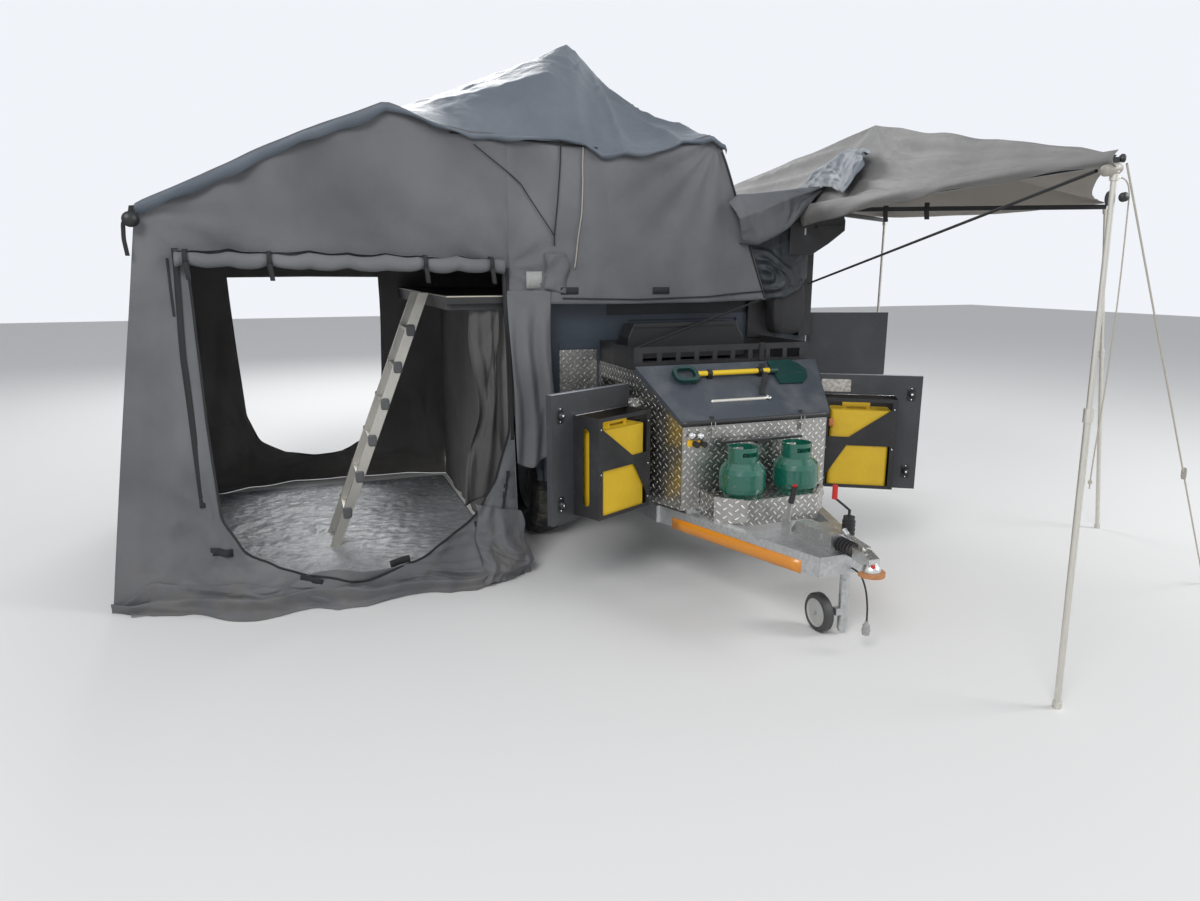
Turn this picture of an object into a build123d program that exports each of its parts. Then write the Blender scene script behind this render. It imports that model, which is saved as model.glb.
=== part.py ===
from build123d import *
import math
import os

# Off-road camping trailer, parked and set up: a box body on a galvanised frame, a tread-plate nose box
# with its doors swung open, a fold-out roof tent with an annex room under it, and a fan-shaped awning.
# Millimetres. X runs to the trailer's left side, Y rearwards and Z up, counted here from the ground.
# The origin of the finished part is the towing ball's centre, so the export lowers it all by coupling_height.

coupling_height = 455
ball_radius = 25.0
ball_clearance = 0.2
gap = 0.3                      # running clearance between pieces that must not touch
clear = 6.0                    # clearance of a panel that swings
far = 5000                     # how far a cutting block reaches, past everything

# drawbar and frame
frame_top = 470
beam_height = 100
beam_width = 50
apex_half = 120                # half the distance between the two drawbar beams at the front
apex_y = 200
nose_plate = 460               # length of the plate that carries the coupling
rail_x = 480
rail_start_y = 1250
body_y = 2000                  # front wall of the box body
body_length = 2150
body_half = 950
body_floor_z = frame_top
body_top_z = 1600
body_wall = 30
recess_x = (-380, 400)         # shallow recess in the front wall above the basket
recess_z = (1350, 1480)
strip_low = 1040               # tread plate on the front wall, either side of the nose box
hatch_half = 780               # rear hatch
hatch_low = 760
cross_members = (1290, 1900, 2900, 3500)

# side locker
locker_y = body_y + 30
locker_length = 560
locker_low = 950
locker_high = 1500
locker_thick = 28
locker_hinges = (1030, 1420)

# axle and road wheels
axle_y = 2480
tyre_radius = 380
tyre_width = 235
lugs = 24                      # shoulder lugs round a tyre
lug_depth = 14
rim_radius = 205
wheel_x = body_half - 88
spindle_radius = 22
arch_gap = 55
arch_skin = 12
axle_tube = 80                 # square rubber-sprung axle tube
swing = 190                    # from the tube's centre back to the wheel spindle
arm_thick = 40
flare = 34                     # how far the fender lip stands out of the body's side

# jockey wheel: the leg stands between coupling and beam, the wheel runs on one side of it and trails
jockey_x = 92
jockey_y = 300
leg_radius = 24
sleeve_wall = 3.5
sleeve_low = 350
sleeve_high = 610
fork_top = 231
jockey_radius = 100
jockey_width = 50
jockey_side = 85               # from the leg's axis to the wheel's middle, along the wheel's axle
trail = 75
crank_reach = 92

# nose box
nose_y = 1030
nose_half = 460
nose_low_z = 500
bearer_y = (1050, 1520, 1900)   # cross bearers that lift the nose box off the frame
nose_floor = 20
nose_front_z = 975
hinge_y = 1372
nose_back_half = 585
nose_top_z = 1230
nose_wall = 22
lid_thick = 30
lid_lip = 12
latch_x = 285

# nose doors and their can holders
door_thick = 40
door_length = 612
door_low = 465
door_high = 1165
hinge_heights = (540, 800, 1060)
pin_radius = 5.5
door_open = {"right": 117, "left": 122}
holder_inset = 34
holder_length = 420
holder_height = 545
holder_depth = 185
holder_low = 500
holder_wall = 4
slot_wide = 46
slot_end = 62                  # from the holder's top and bottom to the ends of its side slots
can_length = 345
can_height = 470
can_depth = 165

# gas tray and bottles
tray_front_y = 735
tray_half = 345
tray_corner = 130
tray_top = 610
tray_wall = 4
bottle_radius = 125
bottle_height = 215
bottle_collar = 75
bottle_x = 168
bottle_y = 885

# basket on the nose
basket_y = 1432
basket_half = 580
basket_height = 130
basket_wall = 5

# roof tent and annex
tent_front_y = 1872
tent_depth = 2300
canvas = 5
tent_floor_z = body_top_z + gap
tent_floor_thick = 45
tent_floor_out = 1550
tent_right_x = 545
tent_peak = (-600, 3200)
tent_shoulder = (165, 2580)
tent_hoop = (-1790, 2690)
tent_eave = (-3070, 2110)
hip_low_z = 2500
annex_foot_x = 3400
annex_inner_x = 1190
annex_flare = 250
annex_sheet = 4                # groundsheet
door_left_x = -2860
door_right_x = -1300
door_sill_z = 240
door_head_z = 1800
rear_door_left_x = -2840
rear_door_right_x = -1700
rear_door_sill_z = 225
rear_door_head_z = 1730
door_edge = (
    # share of the doorway's width, height above its sill: the rounded lower edge of the opening
    (0.01, 230), (0.19, 60), (0.44, 0), (0.69, 40), (0.94, 230), (1.0, 560),
)
floor_bar = 36                 # alloy bars under the fold-out half of the tent floor

# awning
awning_z = 2190
awning_peak = (1200, 1720, 2690)
post_x = body_half - 50
post_size = (90, 56)
hub = (post_x, body_y - 70)
canopy_thick = 4
arm_size = 28
awning_tips = (
    # top x, top y, foot x, foot y
    (430, -610, 500, -610),
    (2450, 1030, 2860, 1100),
    (2120, 2700, 2120, 2700),
)
awning_back = (1060, 4080)
pole_radius = 13
pole_upper_radius = 10.5
pole_joint_z = 1250

# trailer cable out of the drawbar's nose, and the loose end of the awning's guy rope
cable_size = 9
cable_z = 400
cable_points = [(36, 180, cable_z), (36, 146, cable_z), (38, 112, 384), (42, 90, 350), (48, 80, 308),
                (54, 77, 262), (60, 78, 212), (60, 78, 168)]
plug_length = 68
rope_size = 5
rope_eye_z = 2120
rope_points = [(458, -610, rope_eye_z), (474, -610, rope_eye_z), (487, -616, 2110), (494, -623, 2090),
               (496, -628, 2059), (497, -629, 2012)]
for step in range(1, 16):
    rope_points.append((497 + 5 * math.sin(step / 5), -629 - 6 * math.sin(step / 4), 2012 - 64 * step))
rope_points.append((*rope_points[-1][:2], rope_points[-1][2] - 60))

ladder_foot = (-2235, 2720)
ladder_gauge = 340
stile = (25, 60)
rungs = 6


def block(x0, x1, y0, y1, z0, z1):
    centre = Pos((x0 + x1) / 2, (y0 + y1) / 2, (z0 + z1) / 2)
    return centre * Box(abs(x1 - x0), abs(y1 - y0), abs(z1 - z0))


def bar(start, end, width, height):
    """A straight bar of rectangular section whose height stays in the vertical plane."""
    a, b = Vector(*start), Vector(*end)
    way = b - a
    side = Vector(0, 0, 1).cross(way)
    if side.length < 1e-6:
        side = Vector(1, 0, 0)
    return extrude(Plane(origin=a, x_dir=side, z_dir=way) * Rectangle(width, height), way.length)


def rod(start, end, radius, bore=0.0):
    a, b = Vector(*start), Vector(*end)
    way = b - a
    plane = Plane(origin=a, z_dir=way)
    shape = extrude(plane * Circle(radius), way.length)
    if bore > 0:
        shape -= extrude(plane * Circle(bore), way.length)
    return shape


def prism_up(points, z0, z1):
    """An upright prism on a plan outline of (x, y) points."""
    return extrude(Pos(0, 0, z0) * make_face(Polyline(*[(x, y, 0) for x, y in points], close=True)), z1 - z0)


def prism_across(points, x0, x1):
    """A prism along X on an outline of (y, z) points."""
    face = make_face(Polyline(*[(0, y, z) for y, z in points], close=True))
    return Pos(x0, 0, 0) * extrude(face, amount=x1 - x0, dir=(1, 0, 0))


def prism_along(points, y0, y1):
    """A prism along Y on an outline of (x, z) points."""
    face = make_face(Polyline(*[(x, 0, z) for x, z in points], close=True))
    return Pos(0, y0, 0) * extrude(face, amount=y1 - y0, dir=(0, 1, 0))


def fixed_hinge(wall_x, pin_x, pin_y, z, height):
    """The fixed half of a door hinge: a lug out of the wall, just ahead of the pin, and the pin itself."""
    lug = block(wall_x, pin_x, pin_y - 18, pin_y - 4, z - height / 2, z + height / 2)
    return lug + rod((pin_x, pin_y, z - height / 2), (pin_x, pin_y, z + height / 2), pin_radius)


def pin_notches(x, y, heights, height):
    """What a door leaves free round its hinge pins."""
    notches = [rod((x, y, z - height / 2 - 1), (x, y, z + height / 2 + 1), pin_radius + gap) for z in heights]
    return Compound(notches)


def both(shape):
    return shape + mirror(shape, about=Plane.YZ)


parts = {}


def beam_centre(y):
    """Distance of a drawbar beam's centre line from the middle of the trailer."""
    return apex_half + (y - apex_y) * (rail_x - apex_half) / (rail_start_y + 60 - apex_y)


# frame: two rails, the drawbar's two beams, cross members, nose plate
def make_frame():
    low = frame_top - beam_height
    mid = frame_top - beam_height / 2
    rear = body_y + body_length
    rail = block(rail_x - beam_width / 2, rail_x + beam_width / 2, rail_start_y, rear, low, frame_top)
    beam = bar((apex_half, apex_y, mid), (rail_x, rail_start_y + 60, mid), beam_width, beam_height)
    frame = both(rail + beam)
    for y in cross_members:
        frame += block(-rail_x, rail_x, y, y + beam_width, low + 20, frame_top)
    frame += block(-apex_half - 20, apex_half + 20, apex_y - 8, apex_y + 12, low, frame_top)
    plate_y = apex_y + nose_plate
    half = beam_centre(plate_y)
    for y in bearer_y:
        frame += block(-min(beam_centre(y), rail_x) - 20, min(beam_centre(y), rail_x) + 20, y, y + 40,
                       frame_top - 10, nose_low_z - gap)
    plate = [(-apex_half, apex_y), (apex_half, apex_y), (half, plate_y), (-half, plate_y)]
    axis = (jockey_x, jockey_y)
    hole = rod((*axis, frame_top - 20), (*axis, frame_top + 1), leg_radius + sleeve_wall + 4)
    gland_x, gland_y, gland_z = cable_points[0]
    gland = rod((gland_x, gland_y, gland_z), (gland_x, apex_y, gland_z), cable_size)
    return frame + prism_up(plate, frame_top - 8, frame_top) - hole + gland


parts["chassis_frame"] = make_frame()


# rubber-sprung axle: a square tube across the frame, with a trailing arm, spindle, brake plate and damper
# on each side
def link(start, end, radius, x0, x1):
    """A straight arm along X from x0 to x1, rounded about two (y, z) centres."""
    (y0, z0), (y1, z1) = start, end
    length = math.hypot(y1 - y0, z1 - z0)
    dy, dz = -(z1 - z0) / length * radius, (y1 - y0) / length * radius
    edges = [(y0 + dy, z0 + dz), (y1 + dy, z1 + dz), (y1 - dy, z1 - dz), (y0 - dy, z0 - dz)]
    arm = prism_across(edges, x0, x1)
    for y, z in (start, end):
        arm += rod((x0, y, z), (x1, y, z), radius)
    return arm


def make_axle():
    top = frame_top - beam_height - gap
    tube_y, tube_z = axle_y - swing, top - axle_tube / 2
    arm_x = wheel_x - tyre_width / 2 - 14
    plate_x = wheel_x - tyre_width / 2 + 44
    damper_x = arm_x - arm_thick - 50
    tube = block(-arm_x, arm_x, tube_y - axle_tube / 2, tube_y + axle_tube / 2, top - axle_tube, top)
    side = link((tube_y, tube_z), (axle_y, tyre_radius), 34, arm_x - arm_thick, arm_x)
    spindle_end = (wheel_x + 40, axle_y, tyre_radius)
    side += rod((arm_x - arm_thick, axle_y, tyre_radius), spindle_end, spindle_radius)
    side += rod((plate_x, axle_y, tyre_radius), (plate_x + 6, axle_y, tyre_radius), 122)
    side += rod((plate_x - 30, axle_y, tyre_radius), (plate_x, axle_y, tyre_radius), 45)
    low = (damper_x, axle_y - 60, tyre_radius - 6)
    high = (damper_x, axle_y + 170, top + 40)
    middle = tuple((p + q) / 2 for p, q in zip(low, high))
    side += rod(low, middle, 17) + rod(middle, high, 23)
    side += rod((damper_x - 20, low[1], low[2]), (arm_x - arm_thick, low[1], low[2]), 10)
    side += rod((rail_x + beam_width / 2 + gap, high[1], high[2]), (damper_x + 20, high[1], high[2]), 10)
    return tube + both(side)


parts["axle"] = make_axle()


# road wheels
def lug_ring(x, radius, depth):
    """One section of a tyre at x: a polygon whose corners step down by depth between the lugs."""
    pitch = 2 * math.pi / lugs
    points = []
    for k in range(lugs):
        for share, drop in ((0.0, 0), (0.62, 0), (0.68, depth), (0.94, depth)):
            angle = (k + share) * pitch
            points.append((x, (radius - drop) * math.cos(angle), (radius - drop) * math.sin(angle)))
    return make_face(Polyline(*points, close=True))


def make_tyre(x):
    half = tyre_width / 2
    r = tyre_radius
    sidewall = rim_radius + 48
    sections = (
        # distance from the middle, radius, depth between lugs
        (half, sidewall, 0),
        (half - 2, r - 62, 0),
        (half - 9, r - 40, lug_depth),
        (half - 26, r - 9, lug_depth),
        (half - 62, r, lug_depth),
        (half - 72, r, 3),
    )
    rings = [lug_ring(-a, b, c) for a, b, c in sections]
    rings += [lug_ring(a, b, c) for a, b, c in reversed(sections)]
    tyre = loft(rings, ruled=True)
    bead = [(0, 0), (half + 1, 0), (half + 1, sidewall - 3), (half - 30, rim_radius), (0, rim_radius)]
    bead_face = make_face(Polyline(*[(a, 0, b) for a, b in bead], close=True))
    cut = revolve(bead_face, Axis.X)
    return Pos(x, axle_y, tyre_radius) * (tyre - both(cut))


def make_rim(x, side):
    half = tyre_width / 2 - 32
    r = rim_radius - gap
    well = r - 28
    bore = spindle_radius + gap
    outer = [(-half, r), (-half, r - 8), (-half + 26, well), (half - 60, well), (half - 60, 90),
             (half - 92, 70), (half - 92, bore), (half - 62, bore), (half - 50, 66),
             (half - 44, 84), (half - 44, well - 6), (half - 30, well + 2), (half, r - 8), (half, r)]
    points = outer + [(half - 6, r), (half - 34, well + 8), (-half + 30, well + 8), (-half + 6, r)]
    face = make_face(Polyline(*[(a * side, 0, b) for a, b in points], close=True))
    rim = revolve(face, Axis.X)
    for k in range(8):
        turn = Rot(45 * k, 0, 0)
        rim -= turn * rod(((half - 100) * side, 0, 132), ((half - 30) * side, 0, 132), 17)
    drum_x = -tyre_width / 2 + 44 + 6 + 3
    rim += rod((drum_x * side, 0, 0), ((half - 59) * side, 0, 0), 106, 96)
    for k in range(6):
        turn = Rot(60 * k, 0, 0)
        rim += turn * rod(((half - 70) * side, 0, 50), ((half - 40) * side, 0, 50), 9)
    return Pos(x, axle_y, tyre_radius) * rim


for name, side in (("right", -1), ("left", 1)):
    parts["tyre_" + name] = make_tyre(side * wheel_x)
    parts["rim_" + name] = make_rim(side * wheel_x, side)


# overrun coupling: housing on the frame's nose, shaft, bellows, ball head and rubber guard
shaft_z = frame_top + 40


def make_coupling():
    housing = block(-58, 58, 250, 600, frame_top, frame_top + 8)
    hood = [(250, frame_top + 8), (590, frame_top + 8), (540, shaft_z + 30), (250, shaft_z + 40)]
    housing += prism_across(hood, -42, 42)
    shaft_r = 22
    bellows = None
    for k in range(6):
        y = 112 + k * 23
        ring = rod((0, y, shaft_z), (0, y + 12, shaft_z), 36)
        ring += rod((0, y + 12, shaft_z), (0, y + 23, shaft_z), 28)
        bellows = ring if bellows is None else bellows + ring
    bellows -= rod((0, 100, shaft_z), (0, 260, shaft_z), shaft_r + gap)
    head = rod((0, 30, shaft_z), (0, 249.7, shaft_z), shaft_r)
    head += Pos(0, 0, coupling_height) * Sphere(43)
    head += prism_across([(-20, coupling_height + 20), (70, coupling_height + 22), (108, shaft_z - 24),
                          (108, shaft_z + 26), (40, shaft_z + 26), (-14, coupling_height + 60)], -29, 29)
    head += rod((0, 0, coupling_height - 22), (0, 0, coupling_height + 10), 41)
    bore = ball_radius + ball_clearance
    socket = Pos(0, 0, coupling_height) * Sphere(bore)
    socket += rod((0, 0, coupling_height - 60), (0, 0, coupling_height), bore)
    head -= socket
    head -= block(-60, 60, -60, 60, coupling_height - 60, coupling_height - 21)
    handle = bar((0, 30, shaft_z + 44), (0, 190, shaft_z + 60), 26, 8)
    handle += rod((0, 190, shaft_z + 60), (0, 215, shaft_z + 74), 14)
    handle += block(-10, 10, 60, 90, shaft_z + 26, shaft_z + 48)
    guard = rod((0, 0, coupling_height - 20), (0, 0, coupling_height - 2), 62)
    guard -= rod((0, 0, coupling_height - 21), (0, 0, coupling_height), 43 + gap)
    guard -= block(-80, 80, 20, 80, coupling_height - 30, coupling_height + 10)
    return housing, bellows, head, handle, guard


for name, shape in zip(("coupling_housing", "coupling_bellows", "coupling_head", "coupling_handle",
                        "coupling_guard"), make_coupling()):
    parts[name] = shape


# handbrake lever on the coupling housing
def make_handbrake():
    foot = block(-66, -58.3, 560, 640, frame_top, frame_top + 60)
    lever = bar((-62, 602, frame_top + 20), (-62, 572, frame_top + 168), 8, 34)
    grip = rod((-62, 570, frame_top + 160), (-62, 542, frame_top + 250), 15)
    grip += rod((-62, 542, frame_top + 250), (-62, 538, frame_top + 262), 8)
    return foot + lever + grip


parts["handbrake_lever"] = make_handbrake()


# jockey wheel: sleeve with boot and crank, leg, one-sided fork and wheel
def make_jockey():
    axis = (jockey_x, jockey_y)
    outer = leg_radius + gap + sleeve_wall
    sleeve = rod((*axis, sleeve_low), (*axis, sleeve_high), outer, leg_radius + gap)
    sleeve += rod((*axis, sleeve_high), (*axis, sleeve_high + 8), outer)
    sleeve += rod((*axis, sleeve_high + 8), (*axis, sleeve_high + 42), 7)
    elbow = Vector(jockey_x, jockey_y, sleeve_high + 40)
    knob = elbow + Vector(-crank_reach, 0, 72)
    sleeve += rod(tuple(elbow), tuple(knob), 6)
    sleeve += rod((knob.X, knob.Y, knob.Z - 6), (knob.X, knob.Y, knob.Z + 62), 13)
    for k in range(4):
        z = sleeve_high - 84 + 20 * k
        sleeve += rod((*axis, z), (*axis, z + 11), outer + 4, outer - 1)
    mid = frame_top - beam_height / 2
    reach = beam_centre(jockey_y)
    clamp = block(jockey_x + outer - 1.5, reach, jockey_y - 25, jockey_y + 25, mid - 30, mid + 30)
    sleeve += clamp - bar((apex_half, apex_y, mid), (rail_x, rail_start_y + 60, mid), beam_width + 2 * gap,
                          beam_height)
    leg = rod((*axis, fork_top + gap), (*axis, fork_top + 259), leg_radius)
    hub_x, hub_y = jockey_x - jockey_side, jockey_y + trail
    half = jockey_width / 2
    fork = rod((*axis, 34), (*axis, fork_top), leg_radius) + rod((*axis, 20), (*axis, 34), leg_radius - 5)
    cheek_x = hub_x + half + 7
    fork += link((jockey_y, jockey_radius + 30), (hub_y, jockey_radius), 20, cheek_x, cheek_x + 8)
    fork += block(cheek_x, jockey_x, jockey_y - 20, jockey_y + 14, jockey_radius + 12, jockey_radius + 48)
    fork += rod((hub_x - half - 6, hub_y, jockey_radius), (cheek_x + 1, hub_y, jockey_radius), 8)
    w = half
    outline = [(-w + 6, 8 + gap), (-w + 6, 62), (-w, 70), (-w, 90), (-w + 10, 100), (w - 10, 100), (w, 90),
               (w, 70), (w - 6, 62), (w - 6, 26), (w, 26), (w, 8 + gap)]
    face = make_face(Polyline(*[(a, 0, r * jockey_radius / 100) for a, r in outline], close=True))
    roller = Pos(hub_x, hub_y, jockey_radius) * revolve(face, Axis.X)
    return sleeve, leg, fork, roller


parts["jockey_sleeve"], parts["jockey_leg"], parts["jockey_fork"], parts["jockey_wheel"] = make_jockey()


# nose box: tapering front bay under the lid, and a bay with a door opening each side behind it
def make_nose():
    def plan(inset):
        back = body_y - gap
        return [(-nose_half + inset, nose_y + inset), (nose_half - inset, nose_y + inset),
                (nose_back_half - inset, hinge_y), (nose_back_half - inset, back - inset),
                (-nose_back_half + inset, back - inset), (-nose_back_half + inset, hinge_y)]
    box = prism_up(plan(0), nose_low_z, nose_top_z)
    box -= prism_up(plan(nose_wall), nose_low_z + nose_floor, nose_top_z - nose_wall)
    box += block(-nose_back_half + 5, nose_back_half - 5, hinge_y, hinge_y + nose_wall,
                 nose_low_z + 5, nose_top_z - 5)
    # the sloping mouth of the front bay
    ahead = nose_y - 200
    slope = [(ahead, nose_front_z - 200 * lid_slope), (hinge_y, nose_top_z), (hinge_y, nose_top_z + 300),
             (ahead, nose_top_z + 300)]
    box -= prism_across(slope, -far, far)
    mouth = prism_up(plan(nose_wall), nose_floor + nose_low_z, nose_top_z + 50)
    box -= mouth & block(-far, far, nose_y, hinge_y - 30, nose_low_z, nose_top_z + 100)
    # door openings
    frame_y = nose_wall + 25
    box -= block(-far, far, hinge_y + frame_y, body_y - frame_y, nose_low_z + 45, door_high - 25)
    pin_x = nose_back_half + clear + door_thick
    for z in hinge_heights:
        box += both(fixed_hinge(nose_back_half - 14, pin_x, hinge_y, z, 50))
    # over-centre catches of the lid and a folded bottom edge
    z = nose_front_z - 18
    catch = block(latch_x - 17, latch_x + 17, nose_y - 9, nose_y + 1, z - 62, z)
    catch += block(latch_x - 9, latch_x + 9, nose_y - 20, nose_y, z - 50, z - 12)
    box += both(catch)
    box += block(-nose_half - 8, nose_half + 8, nose_y - 6, nose_y + 1, nose_low_z, nose_low_z + 24)
    return box


lid_slope = (nose_top_z - nose_front_z) / (hinge_y - nose_y)
lid_angle = math.degrees(math.atan(lid_slope))


def make_lid():
    lift = gap / math.cos(math.radians(lid_angle))
    y0, z0 = nose_y - lid_lip, nose_front_z - lid_lip * lid_slope + lift
    y1, z1 = hinge_y - 2, nose_top_z - 2 * lid_slope + lift
    face = [(y0, z0), (y1, z1), (y1, z1 + lid_thick), (y0, z0 + lid_thick)]
    whole = prism_across(face, -far, far)
    half0 = nose_half + lid_lip
    half1 = nose_back_half + lid_lip
    plan = [(-half0, y0), (half0, y0), (half1, y1), (-half1, y1)]
    lid = whole & prism_up(plan, nose_front_z - 100, nose_top_z + 100)
    return lid


parts["nose_box"] = make_nose()
parts["nose_lid"] = make_lid()
lid_top = Plane(origin=(0, (nose_y + hinge_y) / 2, (nose_front_z + nose_top_z) / 2 + lid_thick + 2 * gap),
                x_dir=(1, 0, 0),
                z_dir=(0, -math.sin(math.radians(lid_angle)), math.cos(math.radians(lid_angle))))


# shovel lying across the lid: D grip, straight shaft, socket and pointed blade
def make_shovel():
    y = 105
    shaft = rod((-262, y, 26), (235, y, 26), 15)
    grip = extrude(Pos(-330, y, 14) * (RectangleRounded(150, 120, 40) - RectangleRounded(106, 76, 25)), 24)
    outline = Polyline((248, y - 95, 0), (400, y - 100, 0), (455, y - 52, 0), (474, y, 0), (455, y + 52, 0),
                       (400, y + 100, 0), (248, y + 95, 0), close=True)
    blade = extrude(Pos(0, 0, 6) * make_face(outline), 7)
    blade += extrude(Pos(361, y, 12) * SlotOverall(220, 42), 10, taper=20)
    socket = rod((215, y, 26), (262, y, 24), 19)
    feet = None
    for x in (-180, 150):
        foot = block(x - 15, x + 15, y - 24, y + 24, 0, 16) + rod((x - 12, y, 26), (x + 12, y, 26), 21)
        feet = foot if feet is None else feet + foot
    return lid_top * (shaft + grip + blade + socket + feet)


parts["shovel"] = make_shovel()


# tray with chamfered front for the two gas bottles
def tray_plan(inset):
    c = tray_corner
    h, y0, y1 = tray_half - inset, tray_front_y + inset, nose_y - 6 - gap
    return [(-h, y1), (-h, y0 + c), (-h + c, y0), (h - c, y0), (h, y0 + c), (h, y1)]


def make_tray():
    tray = prism_up(tray_plan(0), frame_top + gap, tray_top)
    tray -= prism_up(tray_plan(tray_wall), frame_top + gap + tray_wall, tray_top - 20)
    tray -= prism_up(tray_plan(14), tray_top - 16, tray_top + 1)
    return tray


parts["gas_tray"] = make_tray()


def make_bottle(x):
    r = bottle_radius
    z = tray_top - 16
    top = z + bottle_height
    neck = top - 8
    wall = [(0, z + 14), (r - 38, z + 14), (r - 30, z), (r - 24, z), (r - 20, z + 14), (r - 4, z + 36),
            (r, z + 58), (r, top - 78), (r - 8, top - 52), (r - 34, top - 22), (r - 66, neck), (0, top)]
    bottle = revolve(make_face(Polyline(*[(a, 0, b) for a, b in wall], close=True)), Axis.Z)
    collar = Pos(0, 0, neck - 14) * extrude(Circle(82) - Circle(78), bottle_collar + 6)
    for turn in (0, 180):
        grip = Pos(0, -80, neck + 34) * Box(84, 30, 24)
        collar -= Rot(0, 0, turn) * grip
    valve = rod((0, 0, neck), (0, 0, neck + 26), 14) + rod((0, 0, neck + 30), (0, 0, neck + 46), 20)
    valve += rod((0, 0, neck + 24), (0, 0, neck + 32), 8) + rod((0, 0, neck + 16), (0, -40, neck + 16), 9)
    return Pos(x, bottle_y, 0) * (bottle + collar + valve)


parts["gas_bottle_right"] = make_bottle(-bottle_x)
parts["gas_bottle_left"] = make_bottle(bottle_x)


def make_gas_bar():
    z = tray_top + bottle_height + bottle_collar - 30
    rail = block(-250, 260, nose_y - 62, nose_y - 34, z, z + 12)
    arm = block(-30, 30, nose_y - 62, nose_y - gap, z - 14, z)
    pair = None
    for x in (-390, -345):
        body = rod((x, nose_y - gap, z), (x, nose_y - 44, z), 17)
        pair = body if pair is None else pair + body
    return rail + arm + pair


parts["gas_bar"] = make_gas_bar()


# basket on the back half of the nose box
def make_basket():
    y0, y1 = basket_y, body_y - 14
    z0, z1 = nose_top_z + gap, nose_top_z + basket_height
    w = basket_wall
    basket = block(-basket_half, basket_half, y0, y1, z0, z1)
    basket -= block(-basket_half + w, basket_half - w, y0 + w, y1 - w, z0 + w, z1 + 1)
    for k in range(9):
        x = (k - 4) * 120
        basket -= block(x - 45, x + 45, y0 - 1, y0 + w + 1, z0 + 40, z1 - 35)
    return basket


parts["nose_basket"] = make_basket()


# nose doors, each with a holder and a can on its outer face
def make_door(side):
    """One nose door closed along the box's side, hinged at its front outer corner, then swung open."""
    s = 1 if side == "left" else -1
    x0 = nose_back_half + clear
    x1 = x0 + door_thick
    door = block(x0, x1, hinge_y, hinge_y + door_length, door_low, door_high)
    latches = None
    for z in (door_low + 110, door_high - 110):
        latch = rod((x1, hinge_y + door_length - 60, z), (x1 + 12, hinge_y + door_length - 60, z), 16)
        latches = latch if latches is None else latches + latch
    door += latches
    door -= pin_notches(x1, hinge_y, hinge_heights, 50)
    hx0 = x1 + gap
    y0 = hinge_y + holder_inset
    holder = block(hx0, hx0 + holder_depth, y0, y0 + holder_length, holder_low, holder_low + holder_height)
    w = holder_wall
    holder -= block(hx0 + w, hx0 + holder_depth - w, y0 + w, y0 + holder_length - w, holder_low + w,
                    holder_low + holder_height + 1)
    zl, zh = holder_low + 20, holder_low + holder_height - 20
    zm = (zl + zh) / 2
    ya, yb = y0 + 30, y0 + holder_length - 30
    high = [(ya, zm + 40), (ya, zh), (yb, zh), (yb, zh - 40), (ya + 120, zm + 40)]
    low = [(ya, zl), (ya, zl + 60), (ya + 110, zm - 10), (yb, zm - 10), (yb, zl)]
    holder -= prism_across(high, hx0 + holder_depth - w - 1, hx0 + holder_depth + 1)
    holder -= prism_across(low, hx0 + holder_depth - w - 1, hx0 + holder_depth + 1)
    slot = Plane(origin=(hx0 + holder_depth / 2, y0 - 1, holder_low + holder_height / 2), x_dir=(0, 0, 1),
                 z_dir=(0, 1, 0)) * SlotOverall(holder_height - 2 * slot_end, slot_wide)
    holder -= extrude(slot, holder_length + 2)
    cx = hx0 + holder_depth / 2
    cy = y0 + holder_length / 2
    cz = holder_low + w + gap
    can = Pos(cx, cy, cz + can_height / 2) * Box(can_depth, can_length, can_height)
    can = fillet(can.edges().filter_by(Axis.Z), 22)
    can += block(cx - 12, cx + 12, cy - 100, cy + 60, cz + can_height - 5, cz + can_height + 34) \
        - block(cx - 13, cx + 13, cy - 76, cy + 36, cz + can_height - 5, cz + can_height + 14)
    shapes = [door, holder, can]
    pivot = Pos(x1, hinge_y, 0)
    swung = [pivot * Rot(0, 0, -door_open[side]) * pivot.inverse() * shape for shape in shapes]
    if s < 0:
        swung = [mirror(shape, about=Plane.YZ) for shape in swung]
    return swung


for side in ("right", "left"):
    names = ("nose_door_" + side, "can_holder_" + side, "fuel_can_" + side)
    for name, shape in zip(names, make_door(side)):
        parts[name] = shape


# box body: hollow, with wheel arches and a locker opening on the left side


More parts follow.
